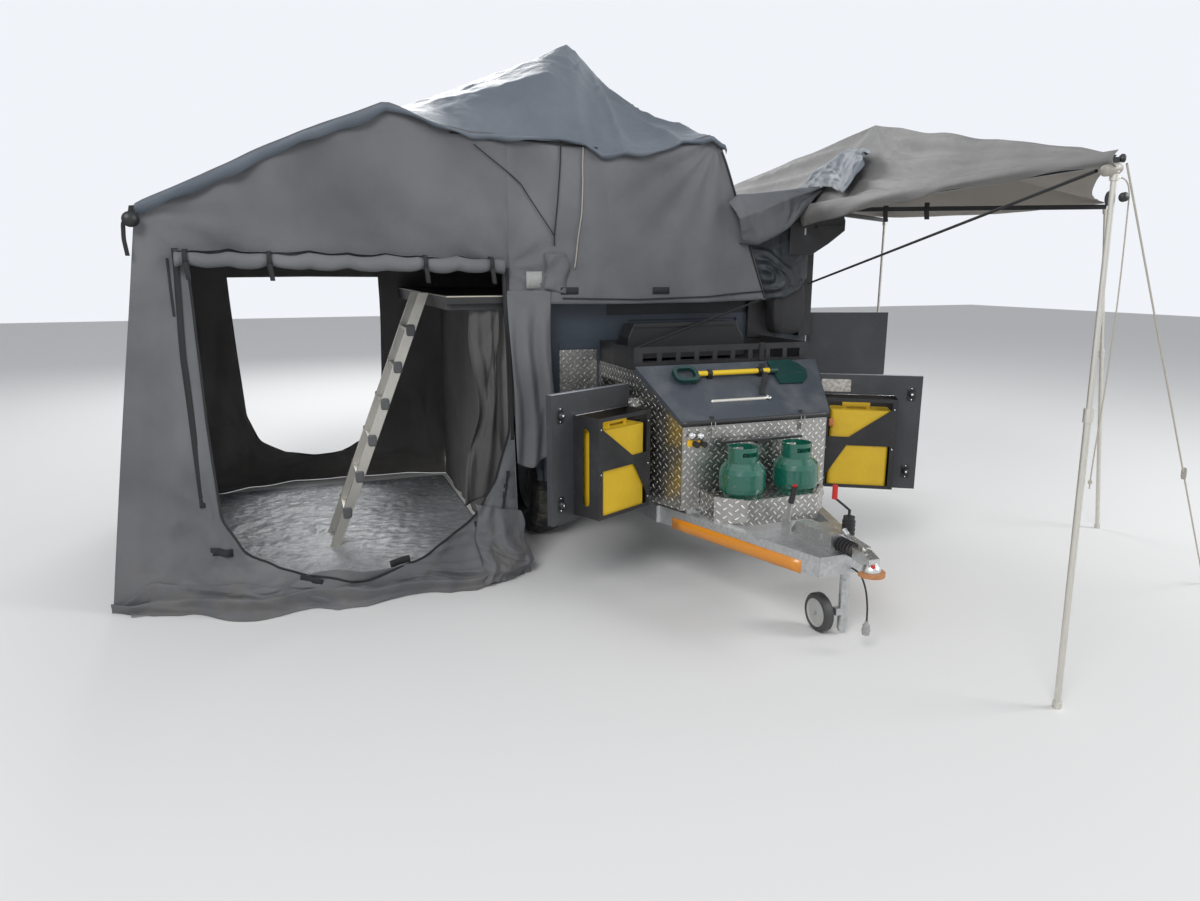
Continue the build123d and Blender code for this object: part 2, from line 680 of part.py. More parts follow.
def make_body():
    """Floor, roof and four walls as separate panels that meet face to face, and a tub over each wheel."""
    y0, y1 = body_y, body_y + body_length
    z0, z1 = body_floor_z, body_top_z
    w = body_wall
    side_x = body_half - w
    reach = tyre_radius + arch_gap
    inner = wheel_x - tyre_width / 2 - 28

    def wheel_round(x_from, x_to, radius):
        return rod((x_from, axle_y, tyre_radius), (x_to, axle_y, tyre_radius), radius)

    front = block(-body_half, body_half, y0, y0 + w, z0, z1)
    front -= block(*recess_x, y0 - 1, y0 + w / 2, *recess_z)
    strip_x = post_x - post_size[0] / 2 - 12
    front += both(block(nose_back_half + 12, strip_x, y0 - 4, y0 + 1, strip_low, recess_z[0]))
    for z in locker_hinges:
        front += fixed_hinge(body_half - 2, body_half + clear + locker_thick, locker_y, z, 60)
    rear = block(-body_half, body_half, y1 - w, y1, z0, z1)
    hatch = Pos(0, y1, (hatch_low + z1 - 70) / 2) * Box(2 * hatch_half, 8, z1 - 70 - hatch_low)
    rear -= hatch - Pos(0, y1, (hatch_low + z1 - 70) / 2) * Box(2 * hatch_half - 16, 9, z1 - 86 - hatch_low)
    rear += rod((-hatch_half + 40, y1 + 4, z1 - 62), (hatch_half - 40, y1 + 4, z1 - 62), 7)
    latch_spot = (hatch_half - 90, hatch_low + 70)
    rear += both(rod((latch_spot[0], y1 - 1, latch_spot[1]), (latch_spot[0], y1 + 12, latch_spot[1]), 24))
    floor = block(-side_x, side_x, y0 + w, y1 - w, z0, z0 + w)
    floor -= both(wheel_round(inner - arch_skin - gap, body_half + 1, reach + arch_skin + gap))
    roof = block(-side_x, side_x, y0 + w, y1 - w, z1 - w, z1)
    side = block(side_x, body_half, y0 + w, y1 - w, z0, z1) - wheel_round(side_x - 1, body_half + 1, reach)
    lip = wheel_round(body_half - 1, body_half + flare, reach + 40)
    lip -= wheel_round(side_x, body_half + flare + 1, reach)
    side += lip & block(body_half - 1, body_half + flare, y0 + w + 1, y1, z0, z1)
    tub = wheel_round(inner - arch_skin, side_x, reach + arch_skin) - wheel_round(inner, body_half, reach)
    tub &= block(0, side_x, y0 + w, y1 - w, z0, z1)
    right = mirror(side, about=Plane.YZ)
    seam = block(-body_half - 1, -body_half + 3, locker_y, locker_y + locker_length, locker_low, locker_high)
    right -= seam - block(-body_half - 2, -body_half + 4, locker_y + 6, locker_y + locker_length - 6,
                          locker_low + 6, locker_high - 6)
    left = side - block(side_x - 1, body_half + 1, locker_y + 25, locker_y + locker_length - 25,
                        locker_low + 25, locker_high - 25)
    return Compound(children=[front, rear, floor, roof, left, right, tub, mirror(tub, about=Plane.YZ)])


parts["body_shell"] = make_body()


def make_locker_door():
    x0 = body_half + clear
    x1 = x0 + locker_thick
    profile = [(locker_y, locker_low), (locker_y, locker_high), (locker_y + locker_length, locker_high),
               (locker_y + locker_length, locker_low + 120), (locker_y + locker_length - 120, locker_low)]
    door = prism_across(profile, x0, x1) - pin_notches(x1, locker_y, locker_hinges, 60)
    pivot = Pos(x1, locker_y, 0)
    return pivot * Rot(0, 0, -110) * pivot.inverse() * door


parts["locker_door_left"] = make_locker_door()


def make_tail_lamps():
    y = body_y + body_length
    lamp = block(body_half - 210, body_half - 60, y + gap, y + 32, 700, 780)
    return both(lamp)


parts["tail_lamps"] = make_tail_lamps()


# tent floor: half of it lies on the body, half folds out over the annex
def make_tent_floor():
    y0 = tent_front_y + 20
    y1 = tent_front_y + tent_depth - 20
    floor = block(-tent_floor_out, tent_right_x - 30, y0, y1, tent_floor_z, tent_floor_z + tent_floor_thick)
    under = tent_floor_z - floor_bar
    inner = -annex_inner_x - canvas - 1
    floor += block(-tent_floor_out + 4, -tent_floor_out + 30, y0 + 20, y1 - 20, under, tent_floor_z)
    for k in range(5):
        y = y0 + 30 + k * (y1 - y0 - 85) / 4
        floor += block(-tent_floor_out + 4, inner, y, y + 25, under, tent_floor_z)
    return floor


parts["tent_floor"] = make_tent_floor()


# canvas shell of tent and annex, cut into roof, tent walls and annex walls
def doorway(left, right, sill, head):
    """Outline of an annex doorway: square above, with a round lower edge."""
    points = [(left, head)]
    points += [(left + share * (right - left), sill + rise) for share, rise in door_edge]
    points.append((right, head))
    return points


def make_canvas():
    y0, y1 = tent_front_y, tent_front_y + tent_depth
    base = tent_floor_z + 1

    def upper(inset):
        def pull(p, dx, dz):
            return (p[0] + dx, p[1] + dz)
        k = inset
        outline = [(tent_right_x - k, base - (1 if k else 0)), pull(tent_shoulder, -k, -k),
                   pull(tent_peak, 0, -k * 1.3), pull(tent_hoop, 0, -k * 1.1), pull(tent_eave, k, -k * 1.1)]
        lean = (annex_foot_x + tent_eave[0]) / tent_eave[1]
        wall_x = -(-tent_eave[0] + lean * (tent_eave[1] - base))
        outline += [(wall_x + k, base - (1 if k else 0))]
        shape = prism_along(outline, y0 + k, y1 - k)
        for front in (True, False):
            y_edge = y0 + k if front else y1 - k
            run = 720 if front else -720
            top = 900
            z = hip_low_z - k
            wedge = [(y_edge - run, z - 700), (y_edge + run, z + 700), (y_edge + run, z + 2400),
                     (y_edge - run, z + 2400)]
            shape -= prism_across(wedge, -far, far)
        return shape

    lean = (annex_foot_x + tent_eave[0]) / tent_eave[1]
    wall_x = -tent_eave[0] + lean * (tent_eave[1] - base)

    def lower(inset):
        k = inset
        low = Pos(-(annex_foot_x + annex_inner_x) / 2, (y0 + y1) / 2, -(1 if k else 0)) * Rectangle(
            annex_foot_x - annex_inner_x - 2 * k, tent_depth + 2 * annex_flare - 2 * k)
        high = Pos(-(wall_x + annex_inner_x) / 2, (y0 + y1) / 2, base + (1 if k else 0)) * Rectangle(
            wall_x - annex_inner_x - 2 * k, tent_depth - 2 * k)
        return loft([low.face(), high.face()], ruled=True)

    top_shell = upper(0) - upper(canvas)
    low_shell = lower(0) - lower(canvas)
    low_line = hip_low_z - 60
    eave_x, eave_z = tent_eave[0] - 100, tent_eave[1] - 50
    roof_line = [(tent_right_x + 200, low_line), (tent_hoop[0], low_line), (eave_x, eave_z),
                 (eave_x, far), (tent_right_x + 200, far)]
    region = prism_along(roof_line, -far, far)
    roof = top_shell & region
    side = top_shell - region
    split = block(-far, -tent_floor_out, -far, far, base - 10, far)
    walls = side - split
    annex = (side & split) + low_shell
    front = doorway(door_left_x, door_right_x, door_sill_z, door_head_z)
    rear = doorway(rear_door_left_x, rear_door_right_x, rear_door_sill_z, rear_door_head_z)
    annex -= prism_along(front, y0 - 2 * annex_flare, (y0 + y1) / 2)
    annex -= prism_along(rear, (y0 + y1) / 2, y1 + 2 * annex_flare)
    inner_y = canvas + 1
    low_z, high_z = tent_floor_z - gap, base + 5
    annex -= block(-tent_floor_out, -annex_inner_x + 50, y0 + inner_y, y1 - inner_y, low_z, high_z)
    return roof, walls, annex


parts["tent_roof"], parts["tent_walls"], parts["annex_walls"] = make_canvas()


def make_annex_floor():
    y0, y1 = tent_front_y - annex_flare / 2, tent_front_y + tent_depth + annex_flare / 2
    return block(-annex_foot_x + 90, -annex_inner_x - 40, y0, y1, 0, annex_sheet)


parts["annex_floor"] = make_annex_floor()


def make_door_roll():
    y = tent_front_y - 42 - gap
    return rod((door_left_x - 40, y, door_head_z + 50), (door_right_x + 60, y, door_head_z + 30), 42)


parts["door_roll"] = make_door_roll()


# ladder from the ground to the fold-out floor's edge
def make_ladder():
    ladder = None
    top_z = tent_floor_z + tent_floor_thick
    run = -tent_floor_out - gap - ladder_foot[0]
    top_x = -tent_floor_out - gap - stile[1] / 2 * math.hypot(run, top_z) / top_z
    for y in (ladder_foot[1] - ladder_gauge / 2, ladder_foot[1] + ladder_gauge / 2):
        over = 0.03
        low = (ladder_foot[0] - over * (top_x - ladder_foot[0]), y, -over * top_z)
        high = (top_x + over * (top_x - ladder_foot[0]), y, (1 + over) * top_z)
        rail = bar(low, high, stile[0], stile[1])
        ladder = rail if ladder is None else ladder + rail
    for k in range(rungs):
        t = (k + 1) / (rungs + 1)
        x = ladder_foot[0] + t * (top_x - ladder_foot[0])
        z = t * top_z
        ladder += block(x - 20, x + 20, ladder_foot[1] - ladder_gauge / 2, ladder_foot[1] + ladder_gauge / 2,
                        z - 12, z + 12)
    ladder -= block(-far, far, 0, far, top_z, far)
    return ladder - block(-far, far, 0, far, -far, annex_sheet + gap)


parts["ladder"] = make_ladder()


# awning: post, arms, canopy, poles and the cover hanging at the hub
def make_post():
    w, d = post_size
    y1 = body_y - gap
    post = block(post_x - w / 2, post_x + w / 2, y1 - d, y1, 1350, awning_z - 40)
    post += block(post_x - w / 2 - 10, post_x + 150, y1 - d - 10, y1 + 60, awning_z - 40, awning_z - 28)
    return post


parts["awning_post"] = make_post()


def make_arms():
    z = awning_z - 28 + arm_size / 2
    arms = rod((*hub, awning_z - 28), (*hub, awning_z), 60)
    for top_x, top_y, foot_x, foot_y in awning_tips:
        arms += bar((*hub, z), (top_x, top_y, z), arm_size, arm_size)
    arms += bar((*hub, z), (*awning_back, z), arm_size, arm_size)
    px, py, pz = awning_peak
    arms += bar((px, py, pz - 30), (*hub, z), arm_size, arm_size)
    return arms


parts["awning_arms"] = make_arms()


def make_canopy():
    """Five sewn panels that meet along the ridges, each a thin three-cornered sheet."""
    z = awning_z + 6
    rim = [(x, y, z) for x, y, fx, fy in awning_tips] + [(*awning_back, z + 120)]
    rim = [(hub[0] - 60, hub[1] - 60, z)] + rim
    panels = []
    for a, b in zip(rim, rim[1:] + rim[:1]):
        panel = make_face(Polyline(a, b, awning_peak, close=True))
        panels.append(extrude(panel, amount=canopy_thick, dir=(0, 0, 1)))
    return Compound(children=panels)


parts["awning_canopy"] = make_canopy()


def make_poles():
    """Three telescopic poles with a clamp and a rubber foot, and the guy rope's eye on the first."""
    top_z = awning_z - 28 - gap
    above = block(-far, far, -far, far, top_z, far)
    below = block(-far, far, -far, far, -far, 0)
    poles = []
    for top_x, top_y, foot_x, foot_y in awning_tips:
        def at(z):
            share = z / top_z
            return foot_x + share * (top_x - foot_x), foot_y + share * (top_y - foot_y), z
        pole = rod(at(-30), at(pole_joint_z), pole_radius)
        pole += rod(at(pole_joint_z - 10), at(top_z + 30), pole_upper_radius)
        pole += rod(at(pole_joint_z - 30), at(pole_joint_z + 25), pole_radius + 5)
        pole += rod(at(-20), at(30), pole_radius + 5) + rod(at(top_z - 26), at(top_z + 6), pole_radius + 3)
        pole -= above + below
        if not poles:
            x, y, z = at(rope_eye_z)
            pole += rod(at(rope_eye_z - 11), at(rope_eye_z + 11), pole_upper_radius + 5)
            pole += rod((x, y, z), rope_points[0], 5)
        poles.append(pole)
    return Compound(children=poles)


parts["awning_poles"] = make_poles()


def make_cover():
    edge = post_x - post_size[0] / 2 - gap
    outline = [(tent_right_x + 40, 1950), (tent_right_x + 60, 2080), (edge - 75, 2130), (edge, 2060),
               (edge - 55, 1930), (edge - 155, 1880)]
    return prism_along(outline, body_y - 220, body_y - 10)


parts["awning_cover"] = make_cover()


def make_side_bag():
    edge = post_x - post_size[0] / 2 - 10
    bag = block(edge - 245, edge, body_y - 155, body_y - gap, 1370, 1760)
    return fillet(bag.edges(), 40)


parts["side_bag"] = make_side_bag()


# cords
def cord(name, points, size):
    """A round cord of straight runs joined by tangent arcs, each as large as its two runs allow."""
    knots = [Vector(*p) for p in points]
    radii = []
    for a, b, c in zip(knots, knots[1:], knots[2:]):
        turn = math.radians((b - a).get_angle(c - b))
        radii.append(0.45 * min((b - a).length, (c - b).length) / math.tan(turn / 2))
    print(name, "radii", [round(r) for r in radii])
    path = FilletPolyline(*knots, radius=radii)
    tube = sweep(Plane(origin=path @ 0, z_dir=path % 0) * Circle(size / 2), path=path)
    print(name, "length", round(path.length), "volume ratio",
          round(tube.volume / (math.pi * size ** 2 / 4 * path.length), 4))
    return tube


def make_plug():
    """A round seven-pin trailer plug: boot, body with a grip ring, and the open end below."""
    x, y, z = cable_points[-1]
    end = z - plug_length
    outline = [(0, z), (7, z), (10, z - 14), (17, z - 20), (18, z - 40), (21, z - 42), (21, z - 50),
               (18, z - 52), (18, end), (15, end), (15, end + 16), (0, end + 16)]
    return Pos(x, y, 0) * revolve(make_face(Polyline(*[(r, 0, h) for r, h in outline], close=True)), Axis.Z)


def make_knot():
    x, y, z = rope_points[-1]
    outline = [(0, z), (rope_size / 2, z), (rope_size + 2, z - 6), (rope_size + 2, z - 14), (rope_size / 2, z - 20),
               (rope_size / 2, z - 36), (0, z - 36)]
    return Pos(x, y, 0) * revolve(make_face(Polyline(*[(r, 0, h) for r, h in outline], close=True)), Axis.Z)


parts["trailer_cable"] = cord("trailer_cable", cable_points, cable_size)
parts["cable_plug"] = make_plug()
parts["guy_rope"] = cord("guy_rope", rope_points, rope_size)
parts["guy_knot"] = make_knot()


os.makedirs("parts", exist_ok=True)
for name, shape in parts.items():
    solids = shape.solids()
    low = Pos(0, 0, -coupling_height)
    placed = [low * solid for solid in solids]
    export_step(placed[0] if len(placed) == 1 else Compound(children=placed), f"parts/{name}.step")
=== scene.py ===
import math
import bmesh
import bpy
import numpy as np
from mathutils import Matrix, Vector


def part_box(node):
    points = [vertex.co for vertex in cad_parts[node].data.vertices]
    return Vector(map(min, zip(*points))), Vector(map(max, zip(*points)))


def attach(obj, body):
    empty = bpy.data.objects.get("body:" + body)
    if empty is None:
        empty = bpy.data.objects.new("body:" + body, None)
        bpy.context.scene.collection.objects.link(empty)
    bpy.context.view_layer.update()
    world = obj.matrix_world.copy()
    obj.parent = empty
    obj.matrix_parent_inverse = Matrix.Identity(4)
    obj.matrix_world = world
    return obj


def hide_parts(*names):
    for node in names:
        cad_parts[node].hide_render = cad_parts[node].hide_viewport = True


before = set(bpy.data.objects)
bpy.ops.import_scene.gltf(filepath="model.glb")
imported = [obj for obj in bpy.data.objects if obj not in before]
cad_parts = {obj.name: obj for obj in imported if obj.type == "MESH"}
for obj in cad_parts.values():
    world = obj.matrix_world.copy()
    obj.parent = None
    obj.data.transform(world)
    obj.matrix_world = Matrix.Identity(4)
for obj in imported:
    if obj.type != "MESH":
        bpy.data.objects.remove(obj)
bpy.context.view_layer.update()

# The view: the trailer as it is looked at from ahead of its right front corner, a little above the lid.
# The lens is that of a plain hand-held camera, and nothing is shifted or blurred.
looks_down, looks_left = 12.6, 20.43
camera_data = bpy.data.cameras.new("view")
camera_data.sensor_width = 36.0
camera_data.lens = 24.45
camera = bpy.data.objects.new("view", camera_data)
camera.location = (-2.38, -2.85, 1.345)
camera.rotation_euler = (math.radians(90.0 - looks_down), 0.0, -math.radians(looks_left))
bpy.context.scene.collection.objects.link(camera)
bpy.context.scene.camera = camera
bpy.context.scene.view_settings.view_transform = "Standard"


# The studio: a wide pale floor at the ground, even light from all round and one broad lamp from the front.
# The sky counts as white only where the camera or a mirror looks at it, so it adds no light.
ground = -0.455


class Wire:
    """A shader value. Python's own signs on it add Math nodes, so 1 - mask * 0.5 works as it reads."""

    def __init__(self, nodes, socket):
        self.nodes, self.socket = nodes, socket

    def maths(self, operation, *others):
        return self.nodes.add("Math", {k: v for k, v in enumerate((self,) + others)}, operation=operation)

    def __add__(self, other):
        return self.maths("ADD", other)

    def __sub__(self, other):
        return self.maths("SUBTRACT", other)

    def __mul__(self, other):
        return self.maths("MULTIPLY", other)

    def __truediv__(self, other):
        return self.maths("DIVIDE", other)

    def __pow__(self, other):
        return self.maths("POWER", other)

    def __gt__(self, other):
        return self.maths("GREATER_THAN", other)

    def __lt__(self, other):
        return self.maths("LESS_THAN", other)

    def __abs__(self):
        return self.maths("ABSOLUTE")

    def __neg__(self):
        return self.maths("MULTIPLY", -1.0)

    def __rsub__(self, other):
        return (-self) + other

    __radd__ = __add__
    __rmul__ = __mul__

    def part(self, name):
        """Another output of the same node."""
        return Wire(self.nodes, self.socket.node.outputs[name])

    def between(self, low, high):
        """0 below low, 1 above high and a soft step between them."""
        return self.nodes.add("MapRange", {"Value": self, "From Min": low, "From Max": high}, clamp=True,
                              interpolation_type="SMOOTHSTEP")


class Nodes:
    """A node tree in the making."""

    def __init__(self, tree):
        self.tree = tree

    def feed(self, socket, value):
        if isinstance(value, Wire):
            self.tree.links.new(value.socket, socket)
        elif isinstance(value, tuple) and len(value) == 3 and socket.type == "RGBA":
            socket.default_value = (*value, 1.0)
        else:
            socket.default_value = value

    def add(self, kind, values, out=0, **settings):
        """Any node: its type, its settings first, then what goes into its sockets by name or number."""
        made = self.tree.nodes.new("ShaderNode" + kind)
        for key, value in settings.items():
            setattr(made, key, value)
        for key, value in values.items():
            self.feed(made.inputs[key], value)
        return Wire(self, made.outputs[out])


class Look(Nodes):
    """A finish in the making: its Principled shader, whose sockets are set by name with _ for a space."""

    def __init__(self, name, colour, rough, metal=0.0, **fixed):
        self.material = bpy.data.materials.new(name)
        self.material.use_nodes = True
        super().__init__(self.material.node_tree)
        self.skin = self.tree.nodes["Principled BSDF"]
        self.set(Base_Color=colour, Roughness=rough, Metallic=metal, **fixed)
        self.place = self.add("TexCoord", {}, out="Object")

    def set(self, **values):
        for key, value in values.items():
            self.feed(self.skin.inputs[key.replace("_", " ")], value)

    def so_far(self, name):
        """What already feeds a socket of the shader."""
        return Wire(self, self.skin.inputs[name].links[0].from_socket)

    def noise(self, scale, detail=2.0, rough=0.5, stretch=None):
        """Cloudy value from 0 to 1, about 1/scale metres across."""
        at = self.add("Mapping", {"Vector": self.place, "Scale": stretch}) if stretch else self.place
        return self.add("TexNoise", {"Vector": at, "Scale": scale, "Detail": detail, "Roughness": rough})

    def tint(self, share, first, second):
        """A colour that goes from first to second as share goes from 0 to 1."""
        return self.add("Mix", {"Factor": share, 6: first, 7: second}, out=2, data_type="RGBA")

    def relief(self, height, depth, base=None):
        """Bump of the given depth in metres, on top of another bump where one is given."""
        values = {"Height": height, "Distance": depth, "Strength": 1.0}
        if base is not None:
            values["Normal"] = base
        return self.add("Bump", values)

    def axes(self):
        """The three coordinates of the shaded point."""
        x = self.add("SeparateXYZ", {"Vector": self.place})
        return x, x.part("Y"), x.part("Z")

    def facing(self, axis):
        """How much the face looks along an axis, from -1 to 1."""
        return self.add("SeparateXYZ", {"Vector": self.add("NewGeometry", {}, out="Normal")}, out=axis)

    def cut(self):
        """The place on the cloth's own cut, in metres."""
        return self.add("TexCoord", {}, out="UV")


def mottled(name, colour, rough, metal=0.0, grain=None, tints=None, bump=None, **fixed):
    """A finish with noise in it, wherever it is asked for.

    grain is (scale, detail, share, base) of the roughness, tints is (scale, detail, first colour, second colour)
    and bump is (scale, detail, depth).
    """
    look = Look(name, colour, rough, metal, **fixed)
    if grain:
        look.set(Roughness=look.noise(*grain[:2]) * grain[2] + grain[3])
    if tints:
        look.set(Base_Color=look.tint(look.noise(*tints[:2]), *tints[2:]))
    if bump:
        look.set(Normal=look.relief(look.noise(*bump[:2]), bump[2]))
    return look


def link(obj):
    bpy.context.scene.collection.objects.link(obj)
    return obj


def unit(way):
    """A direction of length 1."""
    return np.asarray(way, float) / np.linalg.norm(way)


def xyz(x, y, z):
    """Points from their three coordinates, each an array or one number for all."""
    return np.stack(np.broadcast_arrays(x, y, z), axis=-1)


def surface(name, points, look, around=False, smooth=True):
    """A mesh of quads on a grid of points (rows, columns, 3), in metres with the height above the ground.

    around joins the last column to the first. Points that fall together, as at a pole, are made one. The UV map
    holds each point's distance along its row and down its column, in metres, so weave and stitches follow the cloth.
    """
    grid = np.asarray(points, float) + (0.0, 0.0, ground)
    rows, cols = grid.shape[:2]
    step_v = np.linalg.norm(np.diff(grid, axis=0), axis=2).mean(axis=1)
    step_u = np.linalg.norm(np.diff(grid, axis=1), axis=2).mean(axis=0)
    along = np.concatenate([[0.0], np.cumsum(step_u)])
    down = np.concatenate([[0.0], np.cumsum(step_v)])
    index = np.arange(rows * cols).reshape(rows, cols)
    if around:
        index = np.concatenate([index, index[:, :1]], axis=1)
        along = np.append(along, 2 * along[-1] - along[-2])
    quads = np.stack([index[:-1, :-1], index[:-1, 1:], index[1:, 1:], index[1:, :-1]], axis=-1).reshape(-1, 4)
    mesh = bpy.data.meshes.new(name)
    mesh.from_pydata(grid.reshape(-1, 3).tolist(), [], quads.tolist())
    place = np.stack(np.meshgrid(along, down), axis=-1)
    corners = np.stack([place[:-1, :-1], place[:-1, 1:], place[1:, 1:], place[1:, :-1]], axis=2).reshape(-1, 2)
    layer = mesh.uv_layers.new(name="UVMap")
    layer.data.foreach_set("uv", corners.astype(np.float32).ravel())
    mesh.polygons.foreach_set("use_smooth", np.full(len(mesh.polygons), smooth))
    mesh.materials.append(look.material)
    whole = bmesh.new()
    whole.from_mesh(mesh)
    bmesh.ops.remove_doubles(whole, verts=whole.verts, dist=2e-6)
    whole.to_mesh(mesh)
    whole.free()
    return link(bpy.data.objects.new(name, mesh))


studio = mottled("studio_floor", (0.80, 0.795, 0.785), 0.9, grain=(3.0, 2.0, 0.1, 0.85))
floor_reach = 30.0
flat_x, flat_y = np.meshgrid(*[np.linspace(-floor_reach, floor_reach, 9)] * 2)
surface("studio_floor", xyz(flat_x, flat_y, 0.0), studio)

world = bpy.data.worlds.new("studio")
bpy.context.scene.world = world
world.use_nodes = True
sky = Nodes(world.node_tree)
ray = sky.add("LightPath", {}, out="Is Camera Ray")
seen = ray.maths("MAXIMUM", ray.part("Is Transmission Ray")).maths("MAXIMUM", ray.part("Is Glossy Ray"))
background = sky.tree.nodes["Background"]
sky.feed(background.inputs["Color"], (0.92, 0.95, 1.0))
sky.feed(background.inputs["Strength"], sky.add("MapRange", {"Value": seen, "To Min": 0.48, "To Max": 0.95}))


def lamp(name, place, towards, size, watts):
    """A round area lamp that looks from its place towards a point."""
    data = bpy.data.lights.new(name, "AREA")
    data.shape = "DISK"
    data.size = size
    data.energy = watts
    obj = link(bpy.data.objects.new(name, data))
    obj.location = place
    way = unit(np.subtract(towards, place))
    obj.rotation_euler = (math.acos(-way[2]), 0.0, math.atan2(way[1], way[0]) - math.pi / 2)


lamp("broad_front", (-6.5, -6.0, 7.5), (-0.8, 2.0, 0.6), 5.0, 640)
lamp("soft_side", (7.5, -3.5, 5.0), (0.5, 2.0, 0.5), 4.0, 380)
lamp("soft_rear", (-1.0, 10.5, 6.5), (-0.8, 2.5, 0.8), 5.0, 420)


# Trailer cable: a black seven-core lead that leaves the drawbar's nose plate, bends down and hangs free.
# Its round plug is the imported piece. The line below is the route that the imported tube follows.
def hold(piece, body="trailer", stands_for=None):
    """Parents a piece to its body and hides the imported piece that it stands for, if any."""
    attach(piece, body)
    if stands_for:
        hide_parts(stands_for)
    return piece


def lead(name, points, diameter, look, stands_for):
    """A round cord on a smooth spline through its control points, in metres above the ground."""
    curve = bpy.data.curves.new(name, "CURVE")
    curve.dimensions = "3D"
    curve.bevel_depth = diameter / 2
    curve.bevel_resolution = 4
    curve.resolution_u = 6
    spline = curve.splines.new("NURBS")
    spline.points.add(len(points) - 1)
    for point, (x, y, z) in zip(spline.points, points):
        point.co = (x, y, z + ground, 1.0)
    spline.order_u = 3
    spline.use_endpoint_u = True
    curve.materials.append(look.material)
    return hold(link(bpy.data.objects.new(name, curve)), stands_for=stands_for)


def dress(look, *names):
    """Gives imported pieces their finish."""
    for name in names:
        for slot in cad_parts[name].material_slots:
            slot.material = look.material


black_lead = mottled("black_lead", (0.018, 0.018, 0.019), 0.5, grain=(160.0, 2.0, 0.2, 0.42), bump=(420.0, 2.0, 0.0004))
cable_route = ((0.036, 0.180, 0.400), (0.036, 0.146, 0.400), (0.038, 0.112, 0.384), (0.042, 0.090, 0.350),
               (0.048, 0.080, 0.308), (0.054, 0.077, 0.262), (0.060, 0.078, 0.212), (0.060, 0.078, 0.168))
cable = lead("trailer_lead", cable_route, 0.009, black_lead, "trailer_cable")
plug_grey = mottled("plug_grey", (0.34, 0.34, 0.33), 0.4, grain=(120.0, 3.0, 0.25, 0.3),
                    tints=(60.0, 4.0, (0.42, 0.42, 0.41), (0.24, 0.24, 0.235)))
dress(plug_grey, "cable_plug")


# Loose end of the awning's guy rope: braided cord that leaves the eye at the top of the front pole, turns down
# and hangs beside the pole with a knot at its end.
rope_finish = Look("guy_braid", (0.60, 0.56, 0.47), 0.8)
braid = rope_finish.add("TexWave", {"Vector": rope_finish.place, "Scale": 260.0, "Distortion": 1.5},
                        wave_type="BANDS", bands_direction="DIAGONAL")
rope_finish.set(Base_Color=rope_finish.tint(braid, (0.46, 0.42, 0.34), (0.70, 0.66, 0.57)),
                Normal=rope_finish.relief(braid, 0.0012))
rope_route = [(0.458, -0.610, 2.120), (0.474, -0.610, 2.120), (0.487, -0.616, 2.110), (0.494, -0.623, 2.090),
              (0.496, -0.628, 2.059), (0.497, -0.629, 2.012)]
for step in range(1, 16):
    rope_route.append((0.497 + 0.005 * math.sin(step / 5), -0.629 - 0.006 * math.sin(step / 4),
                       2.012 - 0.064 * step))
rope_route.append((*rope_route[-1][:2], rope_route[-1][2] - 0.060))
rope = lead("loose_guy_rope", rope_route, 0.005, rope_finish, "guy_rope")
dress(rope_finish, "guy_knot")


# Frame, axle, coupling housing and the jockey wheel's leg and fork: welded steel, hot dip galvanised, with faint
# spangles and duller runs. The coupling's head and handle are bright, its bellows and guard are rubber.
zinc = mottled("hot_dip_zinc", (0.50, 0.51, 0.51), 0.5, 0.85, bump=(70.0, 4.0, 0.0012))
spangle = zinc.add("TexVoronoi", {"Vector": zinc.place, "Scale": 55.0}, out="Color")
shade = zinc.add("SeparateColor", {"Color": spangle})
runs = zinc.noise(9.0, 4.0, stretch=(1.0, 1.0, 0.3))
grime = zinc.noise(26.0, 5.0).between(0.55, 0.75)
clean_zinc = zinc.tint(shade * 0.45 + runs * 0.4, (0.62, 0.63, 0.63), (0.40, 0.41, 0.415))
zinc.set(Base_Color=zinc.tint(grime * 0.45, clean_zinc, (0.20, 0.185, 0.165)),
         Roughness=shade * 0.18 + grime * 0.25 + 0.34, Metallic=0.9 - grime * 0.5)
dress(zinc, "chassis_frame", "axle", "coupling_housing", "jockey_leg", "jockey_fork")

bright = mottled("bright_zinc_plate", (0.70, 0.70, 0.69), 0.22, 1.0, bump=(120.0, 3.0, 0.0008))
scuff = bright.noise(60.0, 6.0, stretch=(1.0, 4.0, 1.0))
bright.set(Roughness=scuff * 0.35 + 0.1, Base_Color=bright.tint(scuff, (0.78, 0.78, 0.77), (0.50, 0.50, 0.49)))
dress(bright, "coupling_head", "coupling_handle")

rubber = mottled("moulded_rubber", (0.02, 0.02, 0.021), 0.6, grain=(90.0, 3.0, 0.3, 0.45))
rubber.set(Base_Color=rubber.tint(rubber.noise(14.0, 4.0).between(0.5, 0.75), (0.018, 0.018, 0.019),
                                  (0.07, 0.066, 0.06)))
dress(rubber, "coupling_bellows")
guard_finish = mottled("orange_brown_rubber", (0.50, 0.22, 0.09), 0.7, bump=(110.0, 5.0, 0.0015),
                       tints=(60.0, 5.0, (0.58, 0.27, 0.11), (0.36, 0.15, 0.06)))
dress(guard_finish, "coupling_guard")


